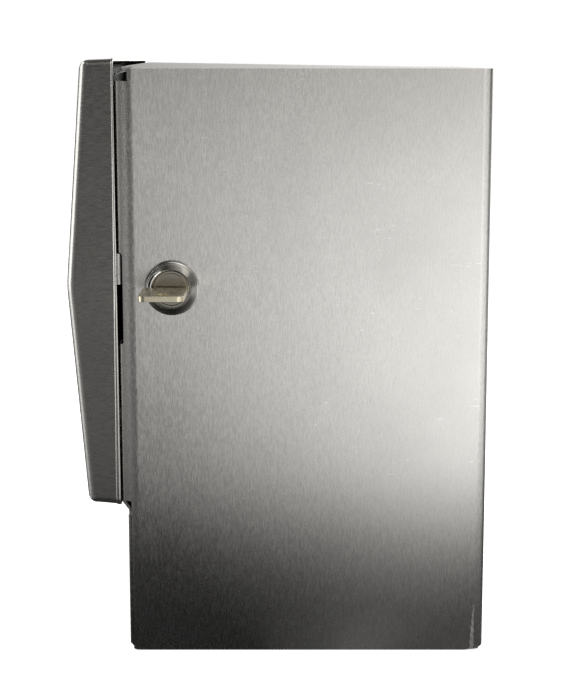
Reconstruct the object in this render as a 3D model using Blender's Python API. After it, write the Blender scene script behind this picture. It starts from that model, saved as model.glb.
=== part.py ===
"""Lockable stainless-steel fare box: a folded sheet body, a peaked pan door on a long hinge, a side
cam lock with its key, and a lift-out cash bin under a coin funnel.

Frame: +Z up, the door faces -Y, the lock is on the +X side. The origin is the centre of the base."""

from math import cos, pi, radians, sin, sqrt, tan

import bmesh
import bpy
from mathutils import Matrix, Vector

MM = 0.001
GAP = 0.3 * MM  # left between pieces that touch

# Body
WIDTH = 178 * MM
DEPTH = 150 * MM
HEIGHT = 240 * MM
SHEET = 1.2 * MM
SIDE = WIDTH / 2
FRONT = -DEPTH / 2  # plane that the door closes on
BACK = DEPTH / 2
FRONT_BEND = 7.5 * MM
BACK_BEND = 2.5 * MM
TOP_BEND = 2 * MM
FRONT_FLANGE = 26 * MM  # width of the two flanges beside the door opening
FLANGE_BOTTOM = 64 * MM
FLANGE_TOP = 235 * MM
CORNER_NOTCH = 5.3 * MM  # how far back the relief at the top corners reaches
SLOT_SAGITTA = 7.5 * MM  # depth of the crescent slot in the middle of the top
SLOT_HALF_CHORD = 80 * MM
CROWN = 2.4 * MM  # rise of the top in the middle of its front, fading to none at the sides and the back

# Lower front wall, part of the bottom pan
WALL_FRONT = FRONT + 2.6 * MM
WALL_TOP = 59.5 * MM
WALL_HALF = 85 * MM
SILL_TOP = 74 * MM
PAN_BEND = 2.7 * MM
PAN_HALF = 87.2 * MM
PAN_FLANGE = 12 * MM

# Door
DOOR_REAR = FRONT - 0.4 * MM
DOOR_HALF = 88 * MM
DOOR_BOTTOM = 62 * MM
DOOR_TOP = 244 * MM
DOOR_MIDDLE = (DOOR_BOTTOM + DOOR_TOP) / 2
DOOR_EDGE_DEPTH = 13.6 * MM
DOOR_PEAK_DEPTH = 20.8 * MM
DOOR_DRAFT = 1.6 * MM
DOOR_CORNER = 2.5 * MM
DOOR_EDGE = 3.2 * MM
DOOR_OPEN_FLANGE = FRONT - 3.3 * MM  # rear edge of the shorter flange on the hinge side

# Hinge
HINGE = Vector((-SIDE, FRONT, 0))
HINGE_BOTTOM = 68 * MM
HINGE_TOP = 230 * MM
KNUCKLES = 5
KNUCKLE_RADIUS = 2.15 * MM
KNUCKLE_BORE = 1.35 * MM
HINGE_PIN_RADIUS = 1.05 * MM
LEAF = 1 * MM
RIVET_HEIGHTS = (90 * MM, 149 * MM, 208 * MM)
RIVET_HOLE = 1.7 * MM

# Lock
LOCK = Vector((SIDE, FRONT + 22 * MM, DOOR_MIDDLE))
HEAD_RADIUS = 11 * MM
HEAD_LENGTH = 6 * MM
BARREL_RADIUS = 9.2 * MM
BARREL_FLAT = 8 * MM
BARREL_INNER_END = SIDE - 18.5 * MM
PLUG_RADIUS = 6.6 * MM
PLUG_BORE = 6.9 * MM
PLUG_FACE = SIDE + 5.3 * MM
PLUG_SHOULDER = SIDE - 19.4 * MM
POST_HALF = 3 * MM
POST_END = SIDE - 23 * MM
KEYWAY_HALF = (4.6 * MM, 1.05 * MM)
KEYWAY_END = SIDE - 15 * MM
WAFER_STATIONS = [SIDE + x * MM for x in (1.5, -2.2, -5.9, -9.6)]
WAFER_THICKNESS = 0.8 * MM
CAM_LENGTH = 25 * MM
CAM_HALF = 5.5 * MM
CAM_FACES = (SIDE - 22.4 * MM, SIDE - 19.8 * MM)
HOOK_SLOT = (19.3 * MM, 22.3 * MM)
NOTCH_BOTTOM = 129.6 * MM
NOTCH_TOP = 167 * MM
NOTCH_DEPTH = 1.9 * MM

# Key
KEY_BLADE_HALF = 4.3 * MM
KEY_BOW_END = SIDE + 32.5 * MM

# Cash bin and funnel
BIN_HALF = 56 * MM
BIN_FRONT = -69.4 * MM
BIN_BACK = 71 * MM
BIN_BASE = SHEET + GAP
BIN_TOP = 88 * MM
BIN_WALL = 1 * MM
BAIL_WIRE = 1.5 * MM
BAIL_Z = BIN_TOP + BAIL_WIRE + GAP
BAIL_ARM = 52 * MM
BAIL_HALF = 59.4 * MM
FUNNEL_TOP = 233.5 * MM
FUNNEL_BOTTOM = 178 * MM
STUD_X = 50 * MM
STUD_Y = -51 * MM
MOUNT_HOLE_X = 55 * MM
MOUNT_HOLE_HEIGHTS = (45 * MM, 195 * MM)


def material(name, colour, roughness, metallic=1.0):
    """A Principled BSDF of that name, made once."""
    found = bpy.data.materials.get(name)
    if found:
        return found
    made = bpy.data.materials.new(name)
    made.use_nodes = True
    shader = made.node_tree.nodes["Principled BSDF"]
    shader.inputs["Base Color"].default_value = (*colour, 1)
    shader.inputs["Roughness"].default_value = roughness
    shader.inputs["Metallic"].default_value = metallic
    return made


def satin_steel():
    return material("satin_steel", (0.62, 0.61, 0.58), 0.38)


def bright_steel():
    return material("bright_steel", (0.66, 0.65, 0.63), 0.25)


def chrome():
    return material("chrome", (0.75, 0.75, 0.74), 0.1)


def zinc():
    return material("zinc", (0.52, 0.52, 0.5), 0.4)


def brass():
    return material("brass", (0.7, 0.58, 0.34), 0.3)


def nickel():
    return material("nickel", (0.62, 0.59, 0.5), 0.3)


def finish(bm, name, surface, helper=False):
    """Turns a bmesh into a linked object. A helper is a cutter or a piece to be joined by a Boolean."""
    bmesh.ops.remove_doubles(bm, verts=bm.verts, dist=1e-7)
    bmesh.ops.recalc_face_normals(bm, faces=bm.faces)
    mesh = bpy.data.meshes.new(name)
    bm.to_mesh(mesh)
    bm.free()
    mesh.shade_smooth()
    mesh.set_sharp_from_angle(angle=radians(35))
    obj = bpy.data.objects.new(name, mesh)
    bpy.context.scene.collection.objects.link(obj)
    if helper:
        obj.hide_render = True
        obj.display_type = "WIRE"
    else:
        mesh.materials.append(surface)
    return obj


def prism(outline, axis, start, end):
    """A closed prism of a 2D outline along an axis. The outline's two numbers are the other axes in order."""
    bm = bmesh.new()
    rings = []
    for level in (start, end):
        ring = []
        for a, b in outline:
            point = {"X": (level, a, b), "Y": (a, level, b), "Z": (a, b, level)}[axis]
            ring.append(bm.verts.new(point))
        rings.append(ring)
    bm.faces.new(rings[0])
    bm.faces.new(rings[1])
    count = len(outline)
    for i in range(count):
        j = (i + 1) % count
        bm.faces.new((rings[0][i], rings[0][j], rings[1][j], rings[1][i]))
    return bm


def box(low, high):
    """A closed box between two corners."""
    outline = [(low[0], low[1]), (high[0], low[1]), (high[0], high[1]), (low[0], high[1])]
    return prism(outline, "Z", low[2], high[2])


def circle(centre, radius, count=24, start=0.0):
    """Points round a circle in a plane."""
    angles = [start + 2 * pi * i / count for i in range(count)]
    return [(centre[0] + radius * cos(a), centre[1] + radius * sin(a)) for a in angles]


def rounded_outline(low, high, radii, steps=4):
    """A rectangle's outline, anticlockwise from its low corner, with a radius for each corner."""
    corners = ((low[0], low[1]), (high[0], low[1]), (high[0], high[1]), (low[0], high[1]))
    inward = ((1, 1), (-1, 1), (-1, -1), (1, -1))
    points = []
    for i, (corner, step, radius) in enumerate(zip(corners, inward, radii)):
        centre = (corner[0] + step[0] * radius, corner[1] + step[1] * radius)
        begin = pi + i * pi / 2
        count = steps if radius > 0 else 0
        for k in range(count + 1):
            a = begin + (pi / 2) * (k / max(count, 1))
            points.append((centre[0] + radius * cos(a), centre[1] + radius * sin(a)))
    return points


def filleted(points, radii, steps=4):
    """An open line with each inner corner rounded to the radius given for it."""
    line = [Vector(points[0])]
    for before, corner, after, radius in zip(points, points[1:], points[2:], radii):
        corner = Vector(corner)
        into = (corner - Vector(before)).normalized()
        out = (Vector(after) - corner).normalized()
        turn = into.angle(out)
        reach = radius * tan(turn / 2)
        start = corner - into * reach
        finish_point = corner + out * reach
        for k in range(steps + 1):
            share = k / steps
            first = start.lerp(corner, share)
            second = corner.lerp(finish_point, share)
            line.append(first.lerp(second, share))
    line.append(Vector(points[-1]))
    return line


def sheet_outline(line, thickness):
    """The closed outline of sheet metal whose one face follows a line; the other lies to the line's left."""
    offset = []
    for i, point in enumerate(line):
        into = (point - line[i - 1]).normalized() if i else None
        out = (line[i + 1] - point).normalized() if i + 1 < len(line) else None
        into = into or out
        out = out or into
        normals = [Vector((-d.y, d.x)) for d in (into, out)]
        middle = (normals[0] + normals[1]).normalized()
        offset.append(point + middle * (thickness / middle.dot(normals[0])))
    return [tuple(p) for p in line] + [tuple(p) for p in reversed(offset)]


def turned(profile, centre, steps=32):
    """A solid turned about an X axis through centre, from (x, radius) points whose ends lie on one ring or
    on the axis. The profile is a closed loop, or an open line that begins and ends at radius 0."""
    bm = bmesh.new()
    closed = profile[0][1] > 0
    rings = []
    for x, radius in profile:
        if radius == 0:
            rings.append([bm.verts.new((x, centre.y, centre.z))])
            continue
        ring = circle((centre.y, centre.z), radius, steps)
        rings.append([bm.verts.new((x, y, z)) for y, z in ring])
    pairs = list(zip(rings, rings[1:]))
    if closed:
        pairs.append((rings[-1], rings[0]))
    for first, second in pairs:
        for i in range(steps):
            j = (i + 1) % steps
            corners = [first[i % len(first)], first[j % len(first)]]
            corners += [second[j % len(second)], second[i % len(second)]]
            unique = list(dict.fromkeys(corners))
            if len(unique) > 2:
                bm.faces.new(unique)
    return bm


def combine(obj, bm, operation):
    """Cuts a shape out of an object, or joins it on, with a Boolean modifier."""
    helper = finish(bm, f"{obj.name}_{operation.lower()}_{len(obj.modifiers)}", None, helper=True)
    modifier = obj.modifiers.new(helper.name, "BOOLEAN")
    modifier.operation = operation
    modifier.object = helper


def cut(obj, bm):
    combine(obj, bm, "DIFFERENCE")


def join(obj, bm):
    combine(obj, bm, "UNION")


def axis_empty(name, location, parent=None):
    """An empty on a joint's axis."""
    empty = bpy.data.objects.new(name, None)
    bpy.context.scene.collection.objects.link(empty)
    empty.location = Vector(location) - (Vector(parent.location) if parent else Vector())
    empty.parent = parent
    return empty


def hang(objects, empty):
    """Parents objects to an empty and moves their origins onto it, with their shapes left where they are."""
    bpy.context.view_layer.update()
    place = empty.matrix_world.translation
    for obj in objects:
        if obj.type == "MESH":
            obj.data.transform(Matrix.Translation(-place))
        else:
            obj.location = -place
        obj.parent = empty


def bevel_top_edges(bm, height, radius, segments):
    edges = [e for e in bm.edges if all(abs(v.co.z - height) < 1e-7 for v in e.verts)]
    bmesh.ops.bevel(bm, geom=edges, offset=radius, segments=segments, profile=0.5, affect="EDGES")


def crown(x, y):
    """How far the top stands above its edges at a point."""
    across = max(0.0, 1 - (x / (SIDE - TOP_BEND)) ** 2)
    along = max(0.0, min(1.0, (BACK - TOP_BEND - y) / DEPTH))
    return CROWN * across * along


def crown_top(bm, height):
    """Divides the flat top of a solid into a grid and raises it to the crown."""
    for x in (-75, -60, -45, -30, -15, 0, 15, 30, 45, 60, 75):
        slice_across(bm, Vector((x * MM, 0, 0)), Vector((1, 0, 0)))
    for y in (-50, -25, 0, 25, 50):
        slice_across(bm, Vector((0, y * MM, 0)), Vector((0, 1, 0)))
    for v in bm.verts:
        if abs(v.co.z - height) < 1e-7:
            v.co.z += crown(v.co.x, v.co.y)
    top = [f for f in bm.faces if f.calc_center_median().z > height]
    bmesh.ops.triangulate(bm, faces=top)


def slice_across(bm, point, normal):
    whole = bm.verts[:] + bm.edges[:] + bm.faces[:]
    bmesh.ops.bisect_plane(bm, geom=whole, dist=1e-7, plane_co=point, plane_no=normal)


def lock_hole_outline(radius, flat, count=32):
    """A round outline with two flats, above and below, round the lock's axis."""
    points = []
    for y, z in circle((0, 0), radius, count, start=pi / count):
        points.append((LOCK.y + y, LOCK.z + max(-flat, min(flat, z))))
    return points


def body_shell():
    """Sides, back and top, folded from one blank, with the flanges that the door closes on."""
    bends = (FRONT_BEND, FRONT_BEND, BACK_BEND, BACK_BEND)
    outer = prism(rounded_outline((-SIDE, FRONT), (SIDE, BACK), bends), "Z", 0, HEIGHT)
    bevel_top_edges(outer, HEIGHT, TOP_BEND, 3)
    crown_top(outer, HEIGHT)
    shell = finish(outer, "body_shell", satin_steel())
    inside = rounded_outline(
        (-SIDE + SHEET, FRONT + SHEET), (SIDE - SHEET, BACK - SHEET), [r - SHEET for r in bends]
    )
    hollow = prism(inside, "Z", -5 * MM, HEIGHT - SHEET)
    bevel_top_edges(hollow, HEIGHT - SHEET, TOP_BEND - SHEET, 2)
    crown_top(hollow, HEIGHT - SHEET)
    cut(shell, hollow)
    beyond = SIDE + 6 * MM
    before = FRONT - 6 * MM
    opening = SIDE - FRONT_FLANGE
    cut(shell, box((-beyond, before, FLANGE_TOP), (beyond, FRONT + CORNER_NOTCH, HEIGHT - SHEET)))
    cut(shell, box((-opening, before, FLANGE_BOTTOM - MM), (opening, FRONT + 2 * MM, FLANGE_TOP + MM)))
    cut(shell, box((-beyond, before, -6 * MM), (beyond, WALL_FRONT, FLANGE_BOTTOM)))
    cut(shell, prism(lower_corner(), "X", -beyond, beyond))
    cut(shell, prism(crescent(), "Z", HEIGHT - 3 * MM, HEIGHT + 6 * MM))
    notch = rounded_outline(
        (before, NOTCH_BOTTOM), (FRONT + NOTCH_DEPTH, NOTCH_TOP), (0, 1.5 * MM, 1.5 * MM, 0)
    )
    cut(shell, prism(notch, "X", opening - 2 * MM, beyond))
    hole = lock_hole_outline(BARREL_RADIUS + GAP, BARREL_FLAT + GAP)
    cut(shell, prism(hole, "X", SIDE - 4 * MM, beyond))
    for x in (-MOUNT_HOLE_X, MOUNT_HOLE_X):
        for z in MOUNT_HOLE_HEIGHTS:
            cut(shell, prism(circle((x, z), 3.3 * MM, 20), "Y", BACK - 4 * MM, BACK + 4 * MM))
    for z in RIVET_HEIGHTS:
        cut(shell, prism(circle((BODY_RIVET_X, z), RIVET_HOLE, 12), "Y", before, FRONT + 3 * MM))
    return shell


def lower_corner():
    """What a rounded lower front corner leaves out of the square one."""
    centre = (WALL_FRONT + PAN_BEND, PAN_BEND)
    arc = [(pi + pi / 2 * k / 4) for k in range(5)]
    round_part = [(centre[0] + PAN_BEND * cos(a), centre[1] + PAN_BEND * sin(a)) for a in arc]
    return round_part + [(centre[0], -3 * MM), (WALL_FRONT - 3 * MM, -3 * MM), (WALL_FRONT - 3 * MM, PAN_BEND)]


def crescent(steps=14):
    """Outline of what the crescent slot takes out of the top plate."""
    radius = (SLOT_HALF_CHORD**2 + SLOT_SAGITTA**2) / (2 * SLOT_SAGITTA)
    centre_y = FRONT + SLOT_SAGITTA - radius
    points = []
    for k in range(steps + 1):
        x = SLOT_HALF_CHORD * (1 - 2 * k / steps)
        points.append((x, centre_y + sqrt(radius**2 - x**2)))
    return points + [(-SLOT_HALF_CHORD, FRONT - 4 * MM), (SLOT_HALF_CHORD, FRONT - 4 * MM)]


def bottom_pan():
    """Base plate and lower front wall from one strip, joggled forward at its top to the door's plane."""
    rear = BACK - SHEET - 0.5 * MM
    corners = [
        (rear, 0),
        (WALL_FRONT, 0),
        (WALL_FRONT, WALL_TOP),
        (FRONT, WALL_TOP + 3.5 * MM),
        (FRONT, SILL_TOP),
    ]
    line = filleted(corners, (PAN_BEND, 1.5 * MM, 1.5 * MM))
    line.reverse()
    pan = finish(prism(sheet_outline(line, SHEET), "X", -PAN_HALF, PAN_HALF), "bottom_pan", satin_steel())
    for side in (-1, 1):
        near, far = sorted((side * WALL_HALF, side * (SIDE + 5 * MM)))
        cut(pan, box((near, FRONT - 5 * MM, -2 * MM), (far, WALL_FRONT + 2.2 * MM, SILL_TOP + 5 * MM)))
        near, far = sorted((side * (SIDE - FRONT_FLANGE - 0.5 * MM), side * (SIDE + 5 * MM)))
        cut(pan, box((near, FRONT - 5 * MM, FLANGE_BOTTOM - 0.6 * MM), (far, FRONT + 4 * MM, 90 * MM)))
        near, far = sorted((side * (PAN_HALF - SHEET), side * PAN_HALF))
        join(pan, box((near, FRONT + 8 * MM, SHEET / 2), (far, BACK - 5 * MM, PAN_FLANGE)))
    join(pan, box((-PAN_HALF + 4 * MM, rear - SHEET, SHEET / 2), (PAN_HALF - 4 * MM, rear, PAN_FLANGE)))
    return pan


def door_depth(z, inset):
    """How far the door's front stands before its rear plane at a height; it peaks at mid height."""
    slope = (DOOR_PEAK_DEPTH - DOOR_EDGE_DEPTH) / (DOOR_TOP - DOOR_MIDDLE)
    bend = 3 * MM  # half the height over which the peak is rounded
    away = abs(z - DOOR_MIDDLE)
    if away < bend:
        away = (away**2 + bend**2) / (2 * bend)
    return DOOR_PEAK_DEPTH - slope * away - inset


def door_ring(inset, shrink, corner, setback, wall):
    """One ring of the door pan: an outline in X and Z, with the depth that its height gives.
    setback is measured from the front face, or is None for the ring on the rear plane."""
    half = DOOR_HALF - inset - shrink
    low = DOOR_BOTTOM + inset + shrink * 0.35
    high = DOOR_TOP - inset - shrink * 0.35
    steps = 3
    side_heights = [DOOR_MIDDLE + k * MM for k in (-3, -1.5, 0, 1.5, 3)]
    points = []
    for k in range(steps + 1):
        a = -pi / 2 + (pi / 2) * k / steps
        points.append((half - corner + corner * cos(a), low + corner + corner * sin(a)))
    points += [(half, z) for z in side_heights]
    for k in range(steps + 1):
        a = (pi / 2) * k / steps
        points.append((half - corner + corner * cos(a), high - corner + corner * sin(a)))
    points += [(-x, z) for x, z in reversed(points)]
    ring = []
    for x, z in points:
        y = DOOR_REAR if setback is None else DOOR_REAR - door_depth(z, wall) + setback
        ring.append((x, y, z))
    return ring


def door_skin(wall):
    """Rings of one face of the door's sheet, from the rear edge to the front; wall is its inward offset."""
    edge = DOOR_EDGE - wall
    corner = DOOR_CORNER - wall
    rings = [door_ring(wall, 0, corner, None, wall)]
    rings.append(door_ring(wall, DOOR_DRAFT, corner, edge, wall))
    for k in (1, 2, 3):
        a = (pi / 2) * k / 3
        inward = edge * (1 - cos(a))
        small = max(corner * cos(a), 0.15 * MM)
        rings.append(door_ring(wall + inward, DOOR_DRAFT, small, edge * (1 - sin(a)), wall))
    return rings


def door_pan():
    """The pan door: a peaked front with rounded edges and drawn-in sides."""
    bm = bmesh.new()
    skins = []
    for wall in (0, SHEET):
        rings = [[bm.verts.new(p) for p in ring] for ring in door_skin(wall)]
        count = len(rings[0])
        for first, second in zip(rings, rings[1:]):
            for i in range(count):
                j = (i + 1) % count
                bm.faces.new((first[i], first[j], second[j], second[i]))
        front = rings[-1]
        for i in range(count // 2 - 1):
            bm.faces.new((front[i], front[i + 1], front[count - 2 - i], front[count - 1 - i]))
        skins.append(rings)
    outer, inner = skins[0][0], skins[1][0]
    for i in range(len(outer)):
        j = (i + 1) % len(outer)
        bm.faces.new((outer[i], outer[j], inner[j], inner[i]))
    door = finish(bm, "door_pan", satin_steel())
    hinge_side = (-SIDE - 5 * MM, DOOR_OPEN_FLANGE, DOOR_BOTTOM - 5 * MM)
    cut(door, box(hinge_side, (-SIDE + 8 * MM, FRONT + 5 * MM, DOOR_TOP + 5 * MM)))
    for z in RIVET_HEIGHTS:
        cut(door, prism(circle((DOOR_RIVET_Y, z), RIVET_HOLE, 12), "X", -SIDE - 4 * MM, -SIDE + 6 * MM))
    return door


def latch_strike():
    """Bracket welded inside the door's lock side; its tongue reaches through the flange's notch."""
    plate_outer = SIDE - 3.6 * MM
    tongue_front = FRONT + 0.4 * MM
    rear = tongue_front + SHEET
    line = filleted([(plate_outer, FRONT - 13 * MM), (plate_outer, rear), (64.5 * MM, rear)], (2 * MM,))
    bent = prism(sheet_outline(line, SHEET), "Z", 144 * MM, NOTCH_TOP - 0.6 * MM)
    strike = finish(bent, "latch_strike", bright_steel())
    low = (60 * MM, FRONT - 2 * MM, 140 * MM)
    cut(strike, box(low, (SIDE, FRONT + 5 * MM, DOOR_MIDDLE + 0.7 * MM)))
    return strike


def knuckle_spans():
    """Bottom and top of each hinge knuckle, from the lowest up."""
    pitch = (HINGE_TOP - HINGE_BOTTOM) / KNUCKLES
    return [(HINGE_BOTTOM + i * pitch, HINGE_BOTTOM + (i + 1) * pitch - 0.4 * MM) for i in range(KNUCKLES)]


def hinge_leaf(name, plates, owned, other, cutback):
    """A hinge leaf: plates given as boxes, with a tube for each knuckle it owns, cut back at the others."""
    leaf = finish(box(*plates[0]), name, bright_steel())
    for plate in plates[1:]:
        join(leaf, box(*plate))
    for bottom, top in other:
        low = (HINGE.x - 4 * MM, HINGE.y - 4 * MM, bottom - 0.4 * MM)
        cut(leaf, box(low, (cutback, HINGE.y + 4 * MM, top + 0.4 * MM)))
    for bottom, top in owned:
        join(leaf, prism(circle(HINGE.xy, KNUCKLE_RADIUS, 16), "Z", bottom, top))
    cut(leaf, prism(circle(HINGE.xy, KNUCKLE_BORE, 16), "Z", HINGE_BOTTOM - MM, HINGE_TOP + MM))
    return leaf


BODY_RIVET_X = -SIDE + 13 * MM
DOOR_RIVET_Y = FRONT - 8 * MM
DOOR_LEAF_INNER = -SIDE + 5.5 * MM
LEAF_CUTBACK = HINGE.x + KNUCKLE_RADIUS + 0.4 * MM


def hinge_leaf_body():
    """Leaf riveted to the front of the flange, inside the closed door."""
    front = FRONT - GAP - LEAF
    plate = ((HINGE.x + 1.6 * MM, front, HINGE_BOTTOM), (-SIDE + 20 * MM, FRONT - GAP, HINGE_TOP - 0.4 * MM))
    spans = knuckle_spans()
    leaf = hinge_leaf("hinge_leaf_body", [plate], spans[0::2], spans[1::2], LEAF_CUTBACK)
    for z in RIVET_HEIGHTS:
        cut(leaf, prism(circle((BODY_RIVET_X, z), RIVET_HOLE, 12), "Y", FRONT - 5 * MM, FRONT + 3 * MM))
    return leaf


def hinge_leaf_door():
    """Angled leaf riveted inside the door's hinge side."""
    top = HINGE_TOP - 0.4 * MM
    strip_rear = FRONT - 1.7 * MM
    inner = DOOR_LEAF_INNER
    strip = ((HINGE.x - 0.5 * MM, strip_rear - 1.2 * MM, HINGE_BOTTOM), (inner, strip_rear, top))
    plate = ((inner - LEAF, FRONT - 12 * MM, HINGE_BOTTOM), (inner, strip_rear - 0.6 * MM, top))
    spans = knuckle_spans()
    leaf = hinge_leaf("hinge_leaf_door", [strip, plate], spans[1::2], spans[0::2], LEAF_CUTBACK)
    for z in RIVET_HEIGHTS:
        cut(leaf, prism(circle((DOOR_RIVET_Y, z), RIVET_HOLE, 12), "X", -SIDE - 2 * MM, -SIDE + 9 * MM))
    return leaf


def hinge_pin():
    """The pin, with a head that rests on the top knuckle."""
    shank = prism(circle(HINGE.xy, HINGE_PIN_RADIUS, 16), "Z", HINGE_BOTTOM - MM, HINGE_TOP + MM)
    pin = finish(shank, "hinge_pin", bright_steel())
    join(pin, prism(circle(HINGE.xy, 1.9 * MM, 16), "Z", HINGE_TOP, HINGE_TOP + 1.2 * MM))
    return pin


def rivet(name, centre, axis, head, tail):
    """A pop rivet on an axis: a low domed head at one coordinate and a rolled tail at the other."""
    shank = RIVET_HOLE - GAP
    outward = 1 if head > tail else -1
    profile = [
        (head + outward * 0.9 * MM, 0),
        (head + outward * 0.9 * MM, 1.2 * MM),
        (head + outward * 0.5 * MM, 2.3 * MM),
        (head, 2.6 * MM),
        (head, shank),
        (tail, shank),
        (tail, 2.2 * MM),
        (tail - outward * 1.1 * MM, 1.9 * MM),
        (tail - outward * 1.1 * MM, 0),
    ]
    bm = turned(profile, Vector((0, centre[0], centre[1])), 12)
    if axis == "Y":
        for v in bm.verts:
            v.co = Vector((v.co.y, v.co.x, v.co.z))
    return finish(bm, name, bright_steel())


def lock_housing():
    """Lock body: a chromed head with a raised ring and a barrel with two flats."""
    base = SIDE + GAP
    tip = SIDE + HEAD_LENGTH
    profile = [
        (base, BARREL_RADIUS),
        (base, HEAD_RADIUS),
        (base + 3.4 * MM, HEAD_RADIUS),
        (tip - 0.8 * MM, HEAD_RADIUS - 0.5 * MM),
        (tip, HEAD_RADIUS - 1.5 * MM),
        (tip, HEAD_RADIUS - 2.6 * MM),
        (PLUG_FACE - 0.4 * MM, PLUG_BORE + 0.4 * MM),
        (PLUG_FACE - 0.8 * MM, PLUG_BORE),
        (BARREL_INNER_END, PLUG_BORE),
        (BARREL_INNER_END, BARREL_RADIUS),
    ]
    housing = finish(turned(profile, LOCK, 40), "lock_housing", chrome())
    for side in (-1, 1):
        near, far = sorted((side * BARREL_FLAT, side * (BARREL_RADIUS + MM)))
        low = (BARREL_INNER_END - MM, LOCK.y - 12 * MM, LOCK.z + near)
        cut(housing, box(low, (base - 0.01 * MM, LOCK.y + 12 * MM, LOCK.z + far)))
    return housing


def lock_plug():
    """Turning plug: a keyway across it, a slot for each wafer and a square post for the cam."""
    profile = [(PLUG_FACE, 0), (PLUG_FACE, PLUG_RADIUS), (PLUG_SHOULDER, PLUG_RADIUS), (PLUG_SHOULDER, 0)]
    plug = finish(turned(profile, LOCK, 40), "lock_plug", chrome())
    low = (POST_END, LOCK.y - POST_HALF, LOCK.z - POST_HALF)
    join(plug, box(low, (PLUG_SHOULDER + MM, LOCK.y + POST_HALF, LOCK.z + POST_HALF)))
    half_y, half_z = KEYWAY_HALF
    low = (KEYWAY_END, LOCK.y - half_y, LOCK.z - half_z)
    cut(plug, box(low, (PLUG_FACE + MM, LOCK.y + half_y, LOCK.z + half_z)))
    for x in WAFER_STATIONS:
        low = (x - 0.7 * MM, LOCK.y - 7 * MM, LOCK.z - 4.1 * MM)
        cut(plug, box(low, (x + 0.7 * MM, LOCK.y + 7 * MM, LOCK.z + 4.1 * MM)))
    screw_hole = circle((LOCK.y, LOCK.z), 1.9 * MM, 16)
    cut(plug, prism(screw_hole, "X", POST_END - MM, SIDE - 16.6 * MM))
    return plug


def lock_wafer(number, x):
    """A sprung plate that the key's blade passes through."""
    half = WAFER_THICKNESS / 2
    low = (x - half, LOCK.y - 5.3 * MM, LOCK.z - 3.8 * MM)
    wafer = finish(box(low, (x + half, LOCK.y + 5.3 * MM, LOCK.z + 3.8 * MM)), f"lock_wafer_{number}", brass())
    half_y, half_z = KEYWAY_HALF
    low = (x - MM, LOCK.y - half_y, LOCK.z - half_z)
    cut(wafer, box(low, (x + MM, LOCK.y + half_y, LOCK.z + half_z)))
    return wafer


def lock_nut():
    """Hexagon nut that clamps the lock in the side."""
    outer = SIDE - SHEET - GAP - 1.2 * MM
    nut = finish(prism(circle((LOCK.y, LOCK.z), 13 * MM, 6), "X", outer - 3.8 * MM, outer), "lock_nut", zinc())
    bore = circle((LOCK.y, LOCK.z), BARREL_RADIUS + GAP, 32)
    cut(nut, prism(bore, "X", outer - 6 * MM, outer + 2 * MM))
    return nut


def lock_washer():
    """Thin washer between the nut and the side."""
    outer = SIDE - SHEET - GAP
    profile = [(outer, 9.5 * MM), (outer, 12.8 * MM), (outer - 0.9 * MM, 12.8 * MM), (outer - 0.9 * MM, 9.5 * MM)]
    return finish(turned(profile, LOCK, 32), "lock_washer", zinc())


def lock_cam():
    """Hook cam, hanging down when unlocked. Its slot swallows the strike's tongue when it swings forward."""
    inner, outer = HOOK_SLOT
    bottom = 0.2 * MM
    arm = [(CAM_LENGTH, -CAM_HALF + 1.5 * MM), (CAM_LENGTH, CAM_HALF - 1.5 * MM), (CAM_LENGTH - 1.2 * MM, CAM_HALF)]
    arm += [(outer, CAM_HALF), (outer, bottom), (inner, bottom), (inner, CAM_HALF)]
    heel = [pi / 2 + pi * k / 8 for k in range(9)]
    arm += [(CAM_HALF * 1.25 * cos(a), CAM_HALF * 1.25 * sin(a)) for a in heel]
    arm += [(6 * MM, -CAM_HALF), (CAM_LENGTH - 1.2 * MM, -CAM_HALF)]
    outline = [(LOCK.y - v, LOCK.z - u) for u, v in arm]
    cam = finish(prism(outline, "X", *CAM_FACES), "lock_cam", zinc())
    half = POST_HALF + GAP
    low = (CAM_FACES[0] - MM, LOCK.y - half, LOCK.z - half)
    cut(cam, box(low, (CAM_FACES[1] + MM, LOCK.y + half, LOCK.z + half)))
    return cam


def cam_washer():
    """Washer under the cam screw's head."""
    x = POST_END - GAP
    profile = [(x, 1.9 * MM), (x, 5.4 * MM), (x - 0.8 * MM, 5.4 * MM), (x - 0.8 * MM, 1.9 * MM)]
    return finish(turned(profile, LOCK, 24), "cam_washer", zinc())


def cam_screw():
    """Hexagon screw that holds the cam on the plug's post."""
    seat = POST_END - GAP - 0.8 * MM - GAP
    screw = finish(prism(circle((LOCK.y, LOCK.z), 3.9 * MM, 6), "X", seat - 2.4 * MM, seat), "cam_screw", zinc())
    shank = circle((LOCK.y, LOCK.z), 1.55 * MM, 16)
    join(screw, prism(shank, "X", seat - MM, SIDE - 17.2 * MM))
    return screw


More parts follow.
